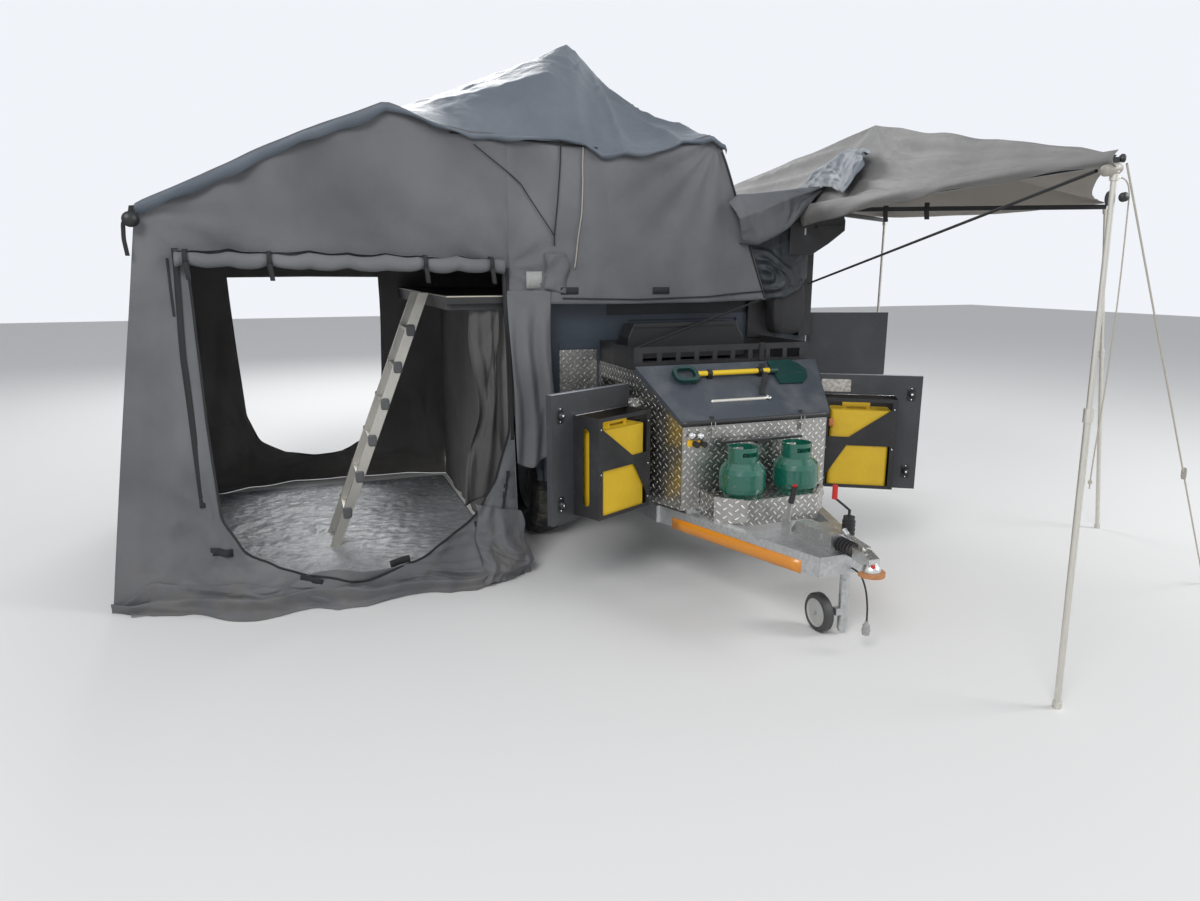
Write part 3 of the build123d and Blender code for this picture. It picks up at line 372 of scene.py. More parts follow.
# Handbrake lever and jockey sleeve: zinc below, black grip and boot above, a red tip and a red crank knob.
# The jockey wheel is a grey disc with a black tyre.
def two_tone(name, edge, top, rough=0.45):
    """A finish that changes with height: bare zinc, black above edge and red above top."""
    look = Look(name, (0.52, 0.52, 0.52), rough)
    z = look.axes()[2]
    colour = look.tint(z > edge, (0.52, 0.52, 0.52), (0.016, 0.016, 0.017))
    grain = look.noise(80.0, 4.0)
    look.set(Base_Color=look.tint(z > top, colour, (0.50, 0.012, 0.01)), Roughness=grain * 0.25 + rough - 0.1,
             Metallic=(z < edge) * 0.85, Normal=look.relief(grain, 0.0006))
    return look


dress(two_tone("brake_lever", 0.470 + 0.155 + ground, 0.470 + 0.250 + ground), "handbrake_lever")
dress(two_tone("jockey_sleeve", 0.522 + ground, 0.715 + ground), "jockey_sleeve")


def from_hub(look, wheel):
    """Distance from a packed wheel's middle, in the plane that it turns in."""
    low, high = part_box(wheel)
    x, y, z = look.axes()
    return ((y - (low[1] + high[1]) / 2) ** 2.0 + (z - (low[2] + high[2]) / 2) ** 2.0) ** 0.5


wheel_grey = mottled("jockey_tyre", (0.30, 0.30, 0.30), 0.6, grain=(50.0, 4.0, 0.3, 0.4))
wheel_grey.set(Base_Color=wheel_grey.tint(from_hub(wheel_grey, "jockey_wheel") > 0.072, (0.42, 0.42, 0.41),
                                          (0.05, 0.05, 0.05)))
dress(wheel_grey, "jockey_wheel")


# Nose box and gas tray: folded from bright aluminium tread plate, five-bar pattern in alternating directions.
def tread_bars(look):
    """Raised lozenges on a square lattice turned by 45 degrees: neighbours on the lattice lie crosswise."""
    x, y, z = look.axes()
    u = x + (y - x) * (abs(look.facing("X")) > 0.75)
    v = z + (y - z) * (abs(look.facing("Z")) > 0.75)
    pitch = 0.033
    a = (u + v) / (pitch * 1.4142)
    b = (u - v) / (pitch * 1.4142)
    cell_a, cell_b = a.maths("FLOOR"), b.maths("FLOOR")
    da = a - cell_a - 0.5
    db = b - cell_b - 0.5
    odd = abs((cell_a + cell_b).maths("MODULO", 2.0)) > 0.5
    long_way = da + (db - da) * odd
    cross_way = db + (da - db) * odd
    bar = 1.0 - ((long_way / 0.46) ** 2.0 + (cross_way / 0.15) ** 2.0)
    return bar.between(0.0, 0.6)


def tread_colours(look, bar):
    """The plate's colour and roughness: bars rubbed bright, the field between them duller and smeared."""
    dull = look.noise(12.0, 5.0)
    smear = look.noise(30.0, 4.0).between(0.5, 0.8)
    field = look.tint(dull, (0.30, 0.295, 0.285), (0.46, 0.45, 0.43))
    return (look.tint(smear * 0.45, look.tint(bar, field, (0.90, 0.89, 0.86)), (0.30, 0.27, 0.23)),
            dull * 0.22 + 0.24 - bar * 0.1 + smear * 0.2)


bar_depth = 0.004
tread = Look("tread_plate", (0.62, 0.61, 0.59), 0.28, 1.0)
bars = tread_bars(tread)
bar_colour, bar_rough = tread_colours(tread, bars)
tread.set(Base_Color=bar_colour, Roughness=bar_rough,
          Normal=tread.relief(bars, bar_depth, tread.relief(tread.noise(5.0), 0.006)))
dress(tread, "nose_box", "gas_tray")


# Lid, body, nose doors and locker door: steel sheet in a dark blue-grey powder coat with a fine orange peel.
# Dust lies on what faces up, and the coat is rubbed lighter here and there.
def powder_coat(name, colour, rough=0.42):
    look = mottled(name, colour, rough, bump=(900.0, 2.0, 0.0003), Coat_Weight=0.10, Coat_Roughness=0.3,
                   Specular_IOR_Level=0.32)
    settled = look.noise(7.0, 6.0).between(0.42, 0.78) * (look.facing("Z").between(0.2, 0.9) * 0.24 + 0.06)
    lighter = tuple(min(1.0, c * 1.5 + 0.008) for c in colour)
    scratch = look.noise(40.0, 8.0, stretch=(6.0, 1.0, 1.0)).between(0.66, 0.74)
    coat = look.tint(scratch * 0.5, look.tint(look.noise(2.5, 4.0), colour, lighter), (0.16, 0.16, 0.165))
    look.set(Base_Color=look.tint(settled, coat, (0.23, 0.235, 0.24)),
             Roughness=look.noise(18.0, 4.0) * 0.16 + settled * 0.35 + rough - 0.08)
    return look


slate = powder_coat("slate_powder_coat", (0.042, 0.050, 0.062))
body_coat = powder_coat("body_powder_coat", (0.032, 0.042, 0.056))
charcoal = powder_coat("charcoal_powder_coat", (0.036, 0.038, 0.042))
black_coat = powder_coat("black_powder_coat", (0.014, 0.014, 0.015), rough=0.38)
dress(slate, "nose_lid")

# The body's front carries tread plate at both lower corners. Under the tent floor its dark slot is drawn only as a
# near-black band of painted shade.
body_front, plate_x, plate_top, seam_half = 2.0, 0.548, 1.304 + ground, 0.002
slot_x, slot_z, slot_half, slot_depth = 0.530, 1.550 + ground, 0.038, 0.005
hx, hy, hz = body_coat.axes()
at_front = hy < body_front - 0.0001
sheeted = at_front * (abs(hx) > plate_x) * (hz < plate_top)
seam_line = at_front * ((abs(abs(hx) - plate_x) < seam_half)
                        + (abs(hz - (plate_top + seam_half)) < seam_half) * (abs(hx) > plate_x))
# The slot's painted shade: near-black painted over the coat in a band under the tent floor, a few millimetres deep.
slot_shade = (hy < body_front + slot_depth) * (abs(hx) < slot_x) * (abs(hz - slot_z) < slot_half)
bars = tread_bars(body_coat)
bar_colour, bar_rough = tread_colours(body_coat, bars)
shaded = body_coat.tint((slot_shade + seam_line) * 0.92, body_coat.so_far("Base Color"), (0.006, 0.006, 0.007))
body_coat.set(Base_Color=body_coat.tint(sheeted, shaded, bar_colour), Metallic=sheeted * (1.0 - seam_line),
              Roughness=body_coat.so_far("Roughness") * (1.0 - sheeted) + bar_rough * sheeted,
              Normal=body_coat.relief(bars * sheeted, bar_depth, body_coat.so_far("Normal")))
dress(body_coat, "body_shell")
dress(charcoal, "nose_door_right", "nose_door_left", "locker_door_left")
dress(black_coat, "gas_bar", "nose_basket", "can_holder_right", "can_holder_left", "awning_post", "awning_arms")


# Fuel cans: blow-moulded yellow polyethylene, a little cloudy and scuffed on the corners.
# Each stands in the holder on its nose door and swings with it.
yellow = mottled("yellow_can", (0.78, 0.52, 0.015), 0.42, grain=(40.0, 5.0, 0.3, 0.28), bump=(60.0, 2.0, 0.002),
                 tints=(8.0, 5.0, (0.72, 0.48, 0.02), (0.56, 0.355, 0.012)))
dress(yellow, "fuel_can_right", "fuel_can_left")


# Gas bottles: pressed steel in gloss green, slightly uneven enamel with dust on the shoulders.
# They stand side by side on the tray in front of the nose box.
green = mottled("green_enamel", (0.007, 0.120, 0.076), 0.22, bump=(45.0, 2.0, 0.0014), Coat_Weight=0.6,
                Coat_Roughness=0.07)
chips = green.noise(34.0, 8.0).between(0.68, 0.72)
enamel = green.tint(green.noise(3.0), (0.007, 0.128, 0.082), (0.005, 0.090, 0.060))
on_shoulders = green.facing("Z").between(0.3, 1.0) * green.noise(9.0, 5.0) * 0.22
green.set(Base_Color=green.tint(on_shoulders, green.tint(chips * 0.7, enamel, (0.30, 0.24, 0.18)), (0.33, 0.34, 0.30)),
          Roughness=green.noise(25.0, 5.0) * 0.25 + chips * 0.3 + 0.14)
dress(green, "gas_bottle_right", "gas_bottle_left")


# Shovel: steel with green enamelled grip, socket and blade, and a yellow sleeve on the shaft.
# Two black clips hold it to the lid.
tool = mottled("shovel_enamel", (0.006, 0.06, 0.05), 0.3, grain=(40.0, 5.0, 0.3, 0.22), bump=(30.0, 3.0, 0.0015))
sleeve_start, sleeve_end = -0.255, 0.212
clip_right, clip_left, clip_half = 0.180, 0.150, 0.0155
tx = tool.axes()[0]
on_shaft = (tx > sleeve_start) * (tx < sleeve_end)
clip = (abs(tx + clip_right) < clip_half) + (abs(tx - clip_left) < clip_half)
enamel = tool.tint(tool.noise(20.0, 5.0), (0.005, 0.048, 0.041), (0.003, 0.032, 0.030))
tool.set(Base_Color=tool.tint(clip, tool.tint(on_shaft, enamel, (0.78, 0.53, 0.02)), (0.012, 0.012, 0.013)))
dress(tool, "shovel")


# Road wheels: silver lacquered steel rims and black off-road tyres with grey dust in the tread.
# Two moulded rings run round each tyre's side.
tyre_rubber = mottled("tyre_rubber", (0.022, 0.022, 0.023), 0.72, grain=(60.0, 3.0, 0.2, 0.62))
radius = from_hub(tyre_rubber, "tyre_right")
outer_ring, inner_ring = 0.300, 0.262
side_rings = (abs(radius - outer_ring) < 0.0025) + (abs(radius - inner_ring) < 0.004)
tyre_dust = tyre_rubber.noise(10.0, 6.0).between(0.4, 0.8) * radius.between(0.24, 0.38)
tyre_rubber.set(Base_Color=tyre_rubber.tint(tyre_dust * 0.6, (0.020, 0.020, 0.021), (0.16, 0.15, 0.13)),
                Normal=tyre_rubber.relief(side_rings, 0.002, tyre_rubber.relief(tyre_rubber.noise(200.0, 3.0), 0.0008)))
dress(tyre_rubber, "tyre_right", "tyre_left")

rim_silver = Look("silver_lacquer", (0.46, 0.47, 0.48), 0.32, 0.55, Coat_Weight=0.3, Coat_Roughness=0.2)
rim_dust = rim_silver.noise(16.0, 6.0).between(0.45, 0.8)
rim_silver.set(Base_Color=rim_silver.tint(rim_dust * 0.6, (0.48, 0.49, 0.50), (0.24, 0.22, 0.19)),
               Roughness=rim_dust * 0.35 + 0.28)
dress(rim_silver, "rim_right", "rim_left")


# Tail lamps: red moulded lenses with fine crossed ribs inside.
# One sits at each lower corner of the body's rear.
lens = Look("red_lens", (0.42, 0.008, 0.008), 0.12, Coat_Weight=0.6)
ribs_per_metre = 900.0
lens_axes = lens.axes()
ribs = (lens_axes[0] * ribs_per_metre).maths("SINE") * (lens_axes[2] * ribs_per_metre).maths("SINE")
lens.set(Base_Color=lens.tint(ribs * 0.5 + 0.5, (0.50, 0.012, 0.01), (0.30, 0.004, 0.004)),
         Normal=lens.relief(ribs, 0.0012))
dress(lens, "tail_lamps")


# Ladder and awning poles: extruded aluminium, drawn lengthwise and dulled by handling.
# The ladder leans against the tent floor, and the poles stand under the ends of the awning's arms.
alloy = Look("mill_aluminium", (0.66, 0.64, 0.58), 0.35, 0.75)
drawn = alloy.noise(30.0, 4.0, stretch=(8.0, 8.0, 0.4))
alloy.set(Base_Color=alloy.tint(drawn, (0.74, 0.72, 0.66), (0.52, 0.50, 0.45)), Roughness=drawn * 0.3 + 0.25,
          Metallic=0.85 - alloy.noise(6.0, 4.0) * 0.35)
dress(alloy, "ladder", "awning_poles")


# Tent floor: a board sealed in black, with a thin alloy edge along its top.
# Half of it lies on the body, and bars sealed like it stiffen the half that folds out over the annex.
board = Look("sealed_board", (0.02, 0.02, 0.021), 0.5)
grain = board.noise(14.0, 6.0, stretch=(0.3, 6.0, 6.0))
board_top, edge_drop, edge_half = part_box("tent_floor")[1][2], 0.004, 0.0035
rail = abs(board.axes()[2] - (board_top - edge_drop)) < edge_half
sealed = board.tint(grain, (0.030, 0.030, 0.031), (0.014, 0.014, 0.015))
board.set(Base_Color=board.tint(rail, sealed, (0.50, 0.46, 0.38)), Metallic=rail * 0.3,
          Roughness=grain * 0.2 + 0.42, Normal=board.relief(grain, 0.0006))
dress(board, "tent_floor")


# Canvas of tent and annex: proofed polycotton, mid grey outside and charcoal inside, sewn in broad panels.
# The weave is too fine to model, so it is a bump that follows the cloth's own cut, with creases from its folding.
def cloth(name, colour, folded, rough=0.85, crease=0.004, dirt=(0.19, 0.17, 0.14)):
    """Cloth that is paler or darker where it was folded, with dust near the ground and a woven, creased bump."""
    look = Look(name, colour, rough)
    cut = look.cut()
    warp, weft = [look.add("TexWave", {"Vector": cut, "Scale": 650.0, "Distortion": 0.6}, wave_type="BANDS",
                           bands_direction=way) for way in "XY"]
    crush = look.noise(5.5, 6.0, 0.62)
    fine = look.noise(19.0, 5.0, 0.6)
    height = look.axes()[2]
    low_dust = (1.0 - height.between(ground + 0.02, ground + 0.55)) * look.noise(6.0, 5.0).between(0.35, 0.7)
    clean = look.tint(look.noise(1.6, 5.0).between(0.3, 0.75), colour, folded)
    creased = look.relief(crush, crease, look.relief(fine, crease * 0.35))
    look.set(Base_Color=look.tint(low_dust * 0.35, clean, dirt), Roughness=fine * 0.16 + rough - 0.08,
             Normal=look.relief(warp + weft, 0.00025, creased))
    return look


canvas = cloth("grey_canvas", (0.160, 0.164, 0.175), (0.112, 0.115, 0.123), crease=0.0075)
lining = cloth("charcoal_lining", (0.205, 0.200, 0.194), (0.135, 0.132, 0.128), crease=0.007)
piping = Look("black_webbing", (0.012, 0.012, 0.013), 0.7)
web = piping.add("TexWave", {"Vector": piping.cut(), "Scale": 330.0}, bands_direction="DIAGONAL")
piping.set(Base_Color=piping.tint(web, (0.010, 0.010, 0.011), (0.028, 0.028, 0.030)),
           Normal=piping.relief(web, 0.0006))


def grid(columns, rows):
    """Two arrays of rows by columns: the first runs from 0 to 1 along each row, the second down each column."""
    return np.meshgrid(np.linspace(0, 1, columns), np.linspace(0, 1, rows))


def mix(first, second, share):
    """The first where share is 0 and the second where it is 1."""
    return first * (1 - share) + second * share


def free_middle(share, steep):
    """0 at both ends of share, where the cloth is held, and 1 between them."""
    return np.clip(np.minimum(share, 1 - share) * steep, 0, 1)


def hump(share):
    """0 at both ends of share and 1 in its middle: half a sine wave."""
    return np.sin(np.pi * share)


def bell(distance, width):
    """1 where distance is 0, falling away on both sides over the width: e to the minus square of their ratio."""
    return np.exp(-(distance / width) ** 2)


def ridge(angle):
    """Sharp ridges: 1 where the sine of the angle is 0, and smooth hollows between them."""
    return 1 - np.abs(np.sin(angle))


def waves(u, v, size, seed, count=7):
    """Soft folds from -1 to 1: the sum of count sine waves of about size metres in seeded random directions."""
    dice = np.random.default_rng(seed)
    total = np.zeros(np.broadcast(u, v).shape)
    for angle, phase, stretch in dice.uniform((0, 0, 0.6), (2 * np.pi, 2 * np.pi, 1.5), (count, 3)):
        total += np.sin(2 * np.pi / (size * stretch) * (u * np.cos(angle) + v * np.sin(angle)) + phase)
    return total / (1.3 * count ** 0.5)


def crumple(u, v, size, seed, count=6):
    """Sharp folds from 0 to 1: bent waves turned into ridges, 1 - |sine|, so creases stand between flat facets."""
    bent_u = u + 0.35 * size * waves(u, v, size * 2.2, seed + 100)
    bent_v = v + 0.35 * size * waves(v, u, size * 2.2, seed + 200)
    dice = np.random.default_rng(seed)
    total = np.zeros(np.broadcast(u, v).shape)
    for angle, phase, stretch in dice.uniform((0, 0, 0.6), (np.pi, 2 * np.pi, 1.6), (count, 3)):
        total += ridge(np.pi / (size * stretch) * (bent_u * np.cos(angle) + bent_v * np.sin(angle)) + phase)
    return (total / count - 0.36) * 2.2


def rise(value, low, high):
    """0 below low, 1 above high and a smooth step between them."""
    share = np.clip((value - low) / (high - low), 0.0, 1.0)
    return share * share * (3 - 2 * share)


def along(points, count, smooth=0):
    """Count points, evenly spaced, on the line through the given ones, its corners rounded smooth times over."""
    points = np.asarray(points, float)
    where = np.concatenate([[0.0], np.cumsum(np.linalg.norm(np.diff(points, axis=0), axis=1))])
    even = np.linspace(0.0, where[-1], count)
    line = np.stack([np.interp(even, where, points[:, k]) for k in range(points.shape[1])], axis=1)
    for turn in range(smooth):
        line[1:-1] = line[1:-1] / 2 + (line[:-2] + line[2:]) / 4
    return line


def ruled(first, second, columns, rows, first_smooth, second_smooth):
    """The cloth between two lines: straight threads from each point of the first to its like on the second."""
    share = np.linspace(0, 1, rows)[:, None, None]
    return mix(along(first, columns, first_smooth)[None], along(second, columns, second_smooth)[None], share)


def outward(piece, inside):
    """Turns the faces over where most of them look towards the given inner point."""
    mesh = piece.data
    normals, centres = np.empty(len(mesh.polygons) * 3), np.empty(len(mesh.polygons) * 3)
    mesh.polygons.foreach_get("normal", normals)
    mesh.polygons.foreach_get("center", centres)
    away = centres.reshape(-1, 3) - (np.array(inside) + (0.0, 0.0, ground))
    if (normals.reshape(-1, 3) * away).sum() < 0:
        mesh.flip_normals()
    return piece


def thicken(piece, thickness, inner=None, offset=-1.0):
    """Gives a sheet its thickness, inwards from its outer face, and its inner face a finish of its own."""
    solid = piece.modifiers.new("thickness", "SOLIDIFY")
    solid.thickness = thickness
    solid.offset = offset
    if inner:
        piece.data.materials.append(inner.material)
        solid.material_offset = 1
    return piece


def sheet(name, points, look, inside, thickness, slot, flat, held, inner=None, stands_for=None, offset=-1.0,
          around=False, **area):
    """A piece of cloth on a grid of points: faced away from an inner point, thickened and held on the trailer."""
    piece = thicken(outward(surface(name, points, look, around), inside), thickness, inner, offset)
    hold(piece, stands_for=stands_for)


canvas_thick, light_thick, awning_thick, coated_thick = 0.0016, 0.0015, 0.0014, 0.0012
tent_front, tent_back, tent_length = 1.872, 4.172, 2.3
seam_x, floor_z = -1.19, 1.60
fly_edge = np.array([(-3.075, 2.112), (-3.02, 2.14), (-2.76, 2.26), (-2.52, 2.38), (-2.27, 2.495), (-2.04, 2.585),
                     (-1.84, 2.665), (-1.76, 2.645), (-1.60, 2.584), (-1.39, 2.535), (-0.96, 2.54), (-0.73, 2.53),
                     (-0.62, 2.465), (-0.48, 2.47), (-0.24, 2.505), (0.02, 2.575), (0.10, 2.60), (0.172, 2.555)])
foot_flare = np.array([(-3.41, 0.0), (-3.07, 0.11), (-2.56, 0.29), (-1.81, 0.30), (-1.47, 0.27), (-1.19, 0.14)])


def fan(x, z, from_x, from_z, pleats, reach):
    """Folds from -1 to 1 that run out from a point where the cloth is tugged, and die away over the given reach."""
    far = np.hypot(x - from_x, z - from_z)
    turn = np.arctan2(z - from_z, x - from_x)
    return np.sin(pleats * turn + 0.8 * np.sin(3 * turn)) * rise(far, 0.0, 0.16) * np.exp(-(far / reach) ** 1.5)


def wall_out(x, z, seed=0):
    """How far the front canvas stands out of the tent's front plane.

    The annex part flares outwards below the tent floor, most in the middle. Long soft folds hang from the eave, the
    doorway's upper corners pull slanting folds, and the skirt at the foot bulges and crumples.
    """
    flare = np.interp(x, *foot_flare.T) * np.clip(1 - z / 1.601, 0, 1) ** 1.05
    low = 1 - rise(z, 0.1, 0.6)
    left = -3.07 - 0.33 * (1 - z / 2.11)
    held = rise(x - left, 0.0, 0.25)
    hang = 0.013 * np.sin(14 * x + 2.2 * np.sin(1.7 * z + seed)) * rise(1.9 - z, 0.0, 1.0)
    soft = 0.020 * waves(x, z * 0.45, 0.55, 3 + seed) + 0.010 * crumple(x, z * 0.6, 0.30, 5 + seed)
    slant = 0.012 * np.sin(16 * (x + 0.55 * z) + 1.0) * rise(z, 1.75, 2.0) * (1 - rise(x, -1.2, -0.4))
    skirt = low * (0.020 * np.sin(9 * x + 3 * np.sin(2 * x)) + 0.030 * crumple(x * 0.8, z * 2.0, 0.26, 9 + seed))
    bulge = 0.05 * bell(z - 0.12, 0.09) * (0.7 + 0.3 * np.sin(5 * x + 1))
    leg = 0.022 * np.sin(26 * (x - left) + 1.2 * z) * bell(x - left - 0.16, 0.16) * rise(2.0 - z, 0.1, 1.0)
    tugs = (fan(x, z, -2.80, 0.45, 11, 0.45) + fan(x, z, -1.34, 0.52, 9, 0.40) + fan(x, z, 0.15, 2.58, 15, 0.75)
            + 0.8 * fan(x, z, -3.06, 2.10, 13, 0.55) + 0.8 * fan(x, z, -1.22, 1.80, 10, 0.45))
    return flare + held * (hang + soft + slant + skirt + bulge + leg + 0.011 * tugs)


def front(x, z, off=0.0, seed=0):
    """Points on the front canvas at the given x and height, off metres in front of it."""
    x, z = np.broadcast_arrays(np.asarray(x, float), np.asarray(z, float))
    return xyz(x, tent_front - wall_out(x, z, seed) - off, z)


def back(x, z, off=0.0, seed=4):
    """The same on the rear canvas."""
    x, z = np.broadcast_arrays(np.asarray(x, float), np.asarray(z, float))
    return xyz(x, tent_back + wall_out(x, z, seed) + off, z)


# Annex: front and rear wall each with a doorway whose lower edge is round, a left wall and an inner wall.
# The walls hang from the tent and are stretched out to pegs, and a skirt lies on the ground.
doorway_front = [(-2.865, 1.815), (-2.845, 1.01), (-2.815, 0.50), (-2.70, 0.315), (-2.42, 0.175), (-2.10, 0.13),
                 (-1.80, 0.19), (-1.50, 0.36), (-1.32, 0.60), (-1.225, 0.85), (-1.215, 1.30), (-1.225, 1.79)]
doorway_back = [(-2.84, 1.73), (-2.82, 1.1), (-2.80, 0.62), (-2.72, 0.40), (-2.52, 0.27), (-2.30, 0.225),
                (-2.05, 0.25), (-1.84, 0.37), (-1.73, 0.60), (-1.70, 0.95), (-1.695, 1.35), (-1.70, 1.73)]
annex_inside = (-2.2, 3.0, 1.0)


def annex_wall(name, points, flat, around=False, **area):
    sheet(name, points, canvas, annex_inside, canvas_thick, "canvas_grey", flat, "hung", lining, "annex_walls",
          around=around, **area)


def ring_wall(doorway, place, seed):
    """A wall round a doorway: straight lines from the doorway's edge out to the wall's own edge, as many as columns.

    Both edges start at the upper left corner and run down, along the ground, up again and back along the top.
    """
    sill = np.array(doorway)
    sides, foot, top = 44, 60, 48
    hole = [along(sill[:4], sides), along(sill[3:9], foot, 3), along(sill[8:], 40),
            along([sill[-1], (sill[0] + sill[-1]) / 2 + (0, 0.005), sill[0]], top)]
    eave = np.concatenate([[(seam_x, np.interp(seam_x, *fly_edge.T))], fly_edge[fly_edge[:, 0] < seam_x][::-1]])
    left_peg, right_peg = (-3.40, 0.004), (seam_x, 0.004)
    outer = [along([(-3.07, 2.112), left_peg], sides), along([left_peg, right_peg], foot),
             along([right_peg, eave[0]], 40), along(eave, top)]
    hole, outer = [np.concatenate([line[:-1] for line in edge]) for edge in (hole, outer)]
    flat = mix(hole, outer, np.linspace(0, 1, 46)[:, None, None])
    return place(flat[..., 0], flat[..., 1], 0.0, seed)


annex_wall("annex_front", ring_wall(doorway_front, front, 0), (2.22, 2.62), around=True, area=3.34)
annex_wall("annex_rear", ring_wall(doorway_back, back, 4), (2.22, 2.62), around=True, area=3.9)

across, down = grid(90, 60)
wall_z = 2.112 - 2.108 * down
wall_x = -3.07 - 0.33 * down
held = free_middle(across, 7)
fold = held * (0.02 * waves(across * 2.3, wall_z * 0.5, 0.6, 21) + 0.010 * crumple(across * 2.3, wall_z, 0.3, 22)
               + 0.05 * bell(wall_z - 0.12, 0.1) * np.abs(np.sin(across * 11)))
annex_wall("annex_left", xyz(wall_x + 0.03 * held * hump(down) - fold * rise(down, 0.0, 0.2),
                             tent_front + across * tent_length, wall_z), (2.36, 2.14))
wall_z = floor_z - 1.596 * down
out = 0.14 * down
fold = 0.015 * waves(across * 2.5, wall_z * 0.4, 0.5, 31) + 0.008 * crumple(across * 2.5, wall_z, 0.25, 32)
annex_wall("annex_inner", xyz(-1.193 - np.abs(fold) * free_middle(across, 9),
                              tent_front - out + across * (tent_length + 2 * out), wall_z), (2.58, 1.61))


# Mud skirt: the coated band sewn along the front wall's foot. It runs out over the ground in doubled folds, and its
# right-hand end is bunched up against the wheel.
s, t = grid(260, 34)
skirt_x = -3.405 + s * 2.215 + 0.02 * np.sin(9 * t) * hump(s)
seam_z = (0.165 + 0.020 * np.sin(5 * skirt_x) + 0.010 * np.sin(13 * skirt_x)) * (0.15 + 0.85 * rise(s, 0.0, 0.12))
top_y = front(skirt_x, seam_z, 0.004)[..., 1]
reach_out = 0.065 + 0.035 * np.sin(4.2 * skirt_x + 0.6) + 0.03 * np.sin(11 * skirt_x)
foot_y = front(skirt_x, 0.0)[..., 1] - reach_out * (0.2 + 0.8 * rise(s, 0.0, 0.10))
lumps = crumple(skirt_x * 0.9, t * 0.35, 0.22, 171)
double = bell(t - 0.62 - 0.08 * np.sin(3 * skirt_x), 0.10)
folded_out = 0.040 * lumps * hump(t) + 0.030 * double
skirt_y = top_y + (foot_y - top_y) * t ** 1.3 - folded_out * rise(s, 0.0, 0.06)
skirt_z = seam_z * (1 - t) ** 1.25 + (0.032 * lumps + 0.040 * double) * hump(t) + 0.004
sheet("annex_skirt", xyz(skirt_x, skirt_y, np.maximum(skirt_z, 0.003)), canvas, (-2.2, 3.0, 0.4), light_thick,
      "canvas_grey", (2.28, 0.25), "hung")
s, t = grid(90, 70)
bunch_x = -1.47 + s * (0.300 + 0.05 * t) + 0.012 * np.sin(11 * t)
bunch_z = 0.40 * (1 - t) ** 1.1 + 0.06 * (1 - s) * (1 - t) - 0.04 * s * (1 - t) + 0.004
pleats = crumple(s * 0.42 + 0.06 * np.sin(5 * t), t * 0.16, 0.19, 172)
bunched = 0.050 + 0.055 * pleats + 0.040 * crumple(s * 0.4, t * 0.5, 0.15, 173) + 0.05 * t
bunch_y = front(bunch_x, bunch_z)[..., 1] - 0.010 - rise(t, 0.0, 0.5) * hump(s) ** 0.35 * bunched
sheet("annex_bunched_foot", xyz(bunch_x, bunch_y, bunch_z), canvas, (-1.3, 3.0, 0.4), light_thick, "canvas_grey",
      (0.44, 0.46), "hung")


# Inner curtain: the doorway's zipped-off side, of the annex's own canvas; its colour is the lining's darkened by half,
# painted shade of the tent floor.
# It is gathered and tied back inside at the right.
s, t = grid(50, 70)
gather = 1 - 0.55 * bell(t - 0.52, 0.22)
curtain_x = -1.232 - s * (0.17 * gather + 0.08 * t) - 0.02 * hump(t)
curtain_z = floor_z - t * (1.12 + 0.10 * s)
folds = 0.012 * np.sin(13 * s + 2.5 * np.sin(4 * t)) + 0.055 * crumple(s * 0.30 + 0.1 * t, t * 0.35, 0.17, 175)
curtain_y = tent_front + 0.075 + folds * (0.4 + 0.6 * rise(t, 0.0, 0.3))
shaded_lining = cloth("shaded_lining", (0.105, 0.103, 0.100), (0.068, 0.067, 0.065), crease=0.007)
sheet("inner_curtain", xyz(curtain_x, curtain_y, curtain_z), shaded_lining, (-1.3, 3.0, 1.2), light_thick,
      "canvas_grey", (0.27, 1.22), "gathered")


# Tent walls: the upper canvas right of the annex, front and rear, and the slanted end wall over the body.
# A sewn seam joins them to the annex, and their lower edge is held by an elastic cord.
def tent_wall(place, seed):
    """A grid between the seam at the annex and the slanted right edge, from the tent floor up to the fly's edge."""
    s, t = grid(90, 56)
    foot_x = seam_x + s * (0.545 + 1.19)
    top_x = seam_x + s * (0.172 + 1.19)
    low_z = 1.598 - 0.012 * hump(s)
    return place(foot_x + (top_x - foot_x) * t, low_z + (np.interp(top_x, *fly_edge.T) - low_z) * t, 0.0, seed)


s, t = grid(80, 40)
end_out = 0.010 * waves(s * 2.3, t, 0.5, 41) * free_middle(s, 8)
end_wall = xyz(0.545 - 0.373 * t + end_out, tent_front + tent_length * s, floor_z + 0.955 * t)
for name, points, flat in (("tent_wall_front", tent_wall(front, 0), (1.74, 0.98)),
                           ("tent_wall_rear", tent_wall(back, 4), (1.74, 0.98)),
                           ("tent_wall_end", end_wall, (2.3, 1.03))):
    sheet(name, points, canvas, (-0.4, 3.0, 2.0), canvas_thick, "canvas_grey", flat, "stretched", lining, "tent_walls")


# Fly: a coated, shiny blue-grey rain sheet over the tent, lifted by the hoop at the left, the peak and the right bow.
# A strut makes a crisp hip from the peak down to the front edge. Pleats fan out right of it, and a narrow hem hangs
# over the canvas, a little deeper along the annex's slope.
fly_finish = cloth("coated_fly", (0.100, 0.122, 0.150), (0.140, 0.160, 0.188), rough=0.36, crease=0.008)
fly_ridge = np.array([(-3.075, 2.115), (-2.52, 2.375), (-2.04, 2.60), (-1.84, 2.70), (-1.60, 2.80), (-1.40, 2.885),
                      (-1.15, 2.98), (-0.88, 3.09), (-0.66, 3.19), (-0.585, 3.222), (-0.52, 3.175), (-0.42, 3.085),
                      (-0.28, 2.955), (-0.17, 2.865), (-0.05, 2.80), (0.06, 2.74), (0.172, 2.62)])
peak = (-0.585, 2.592)


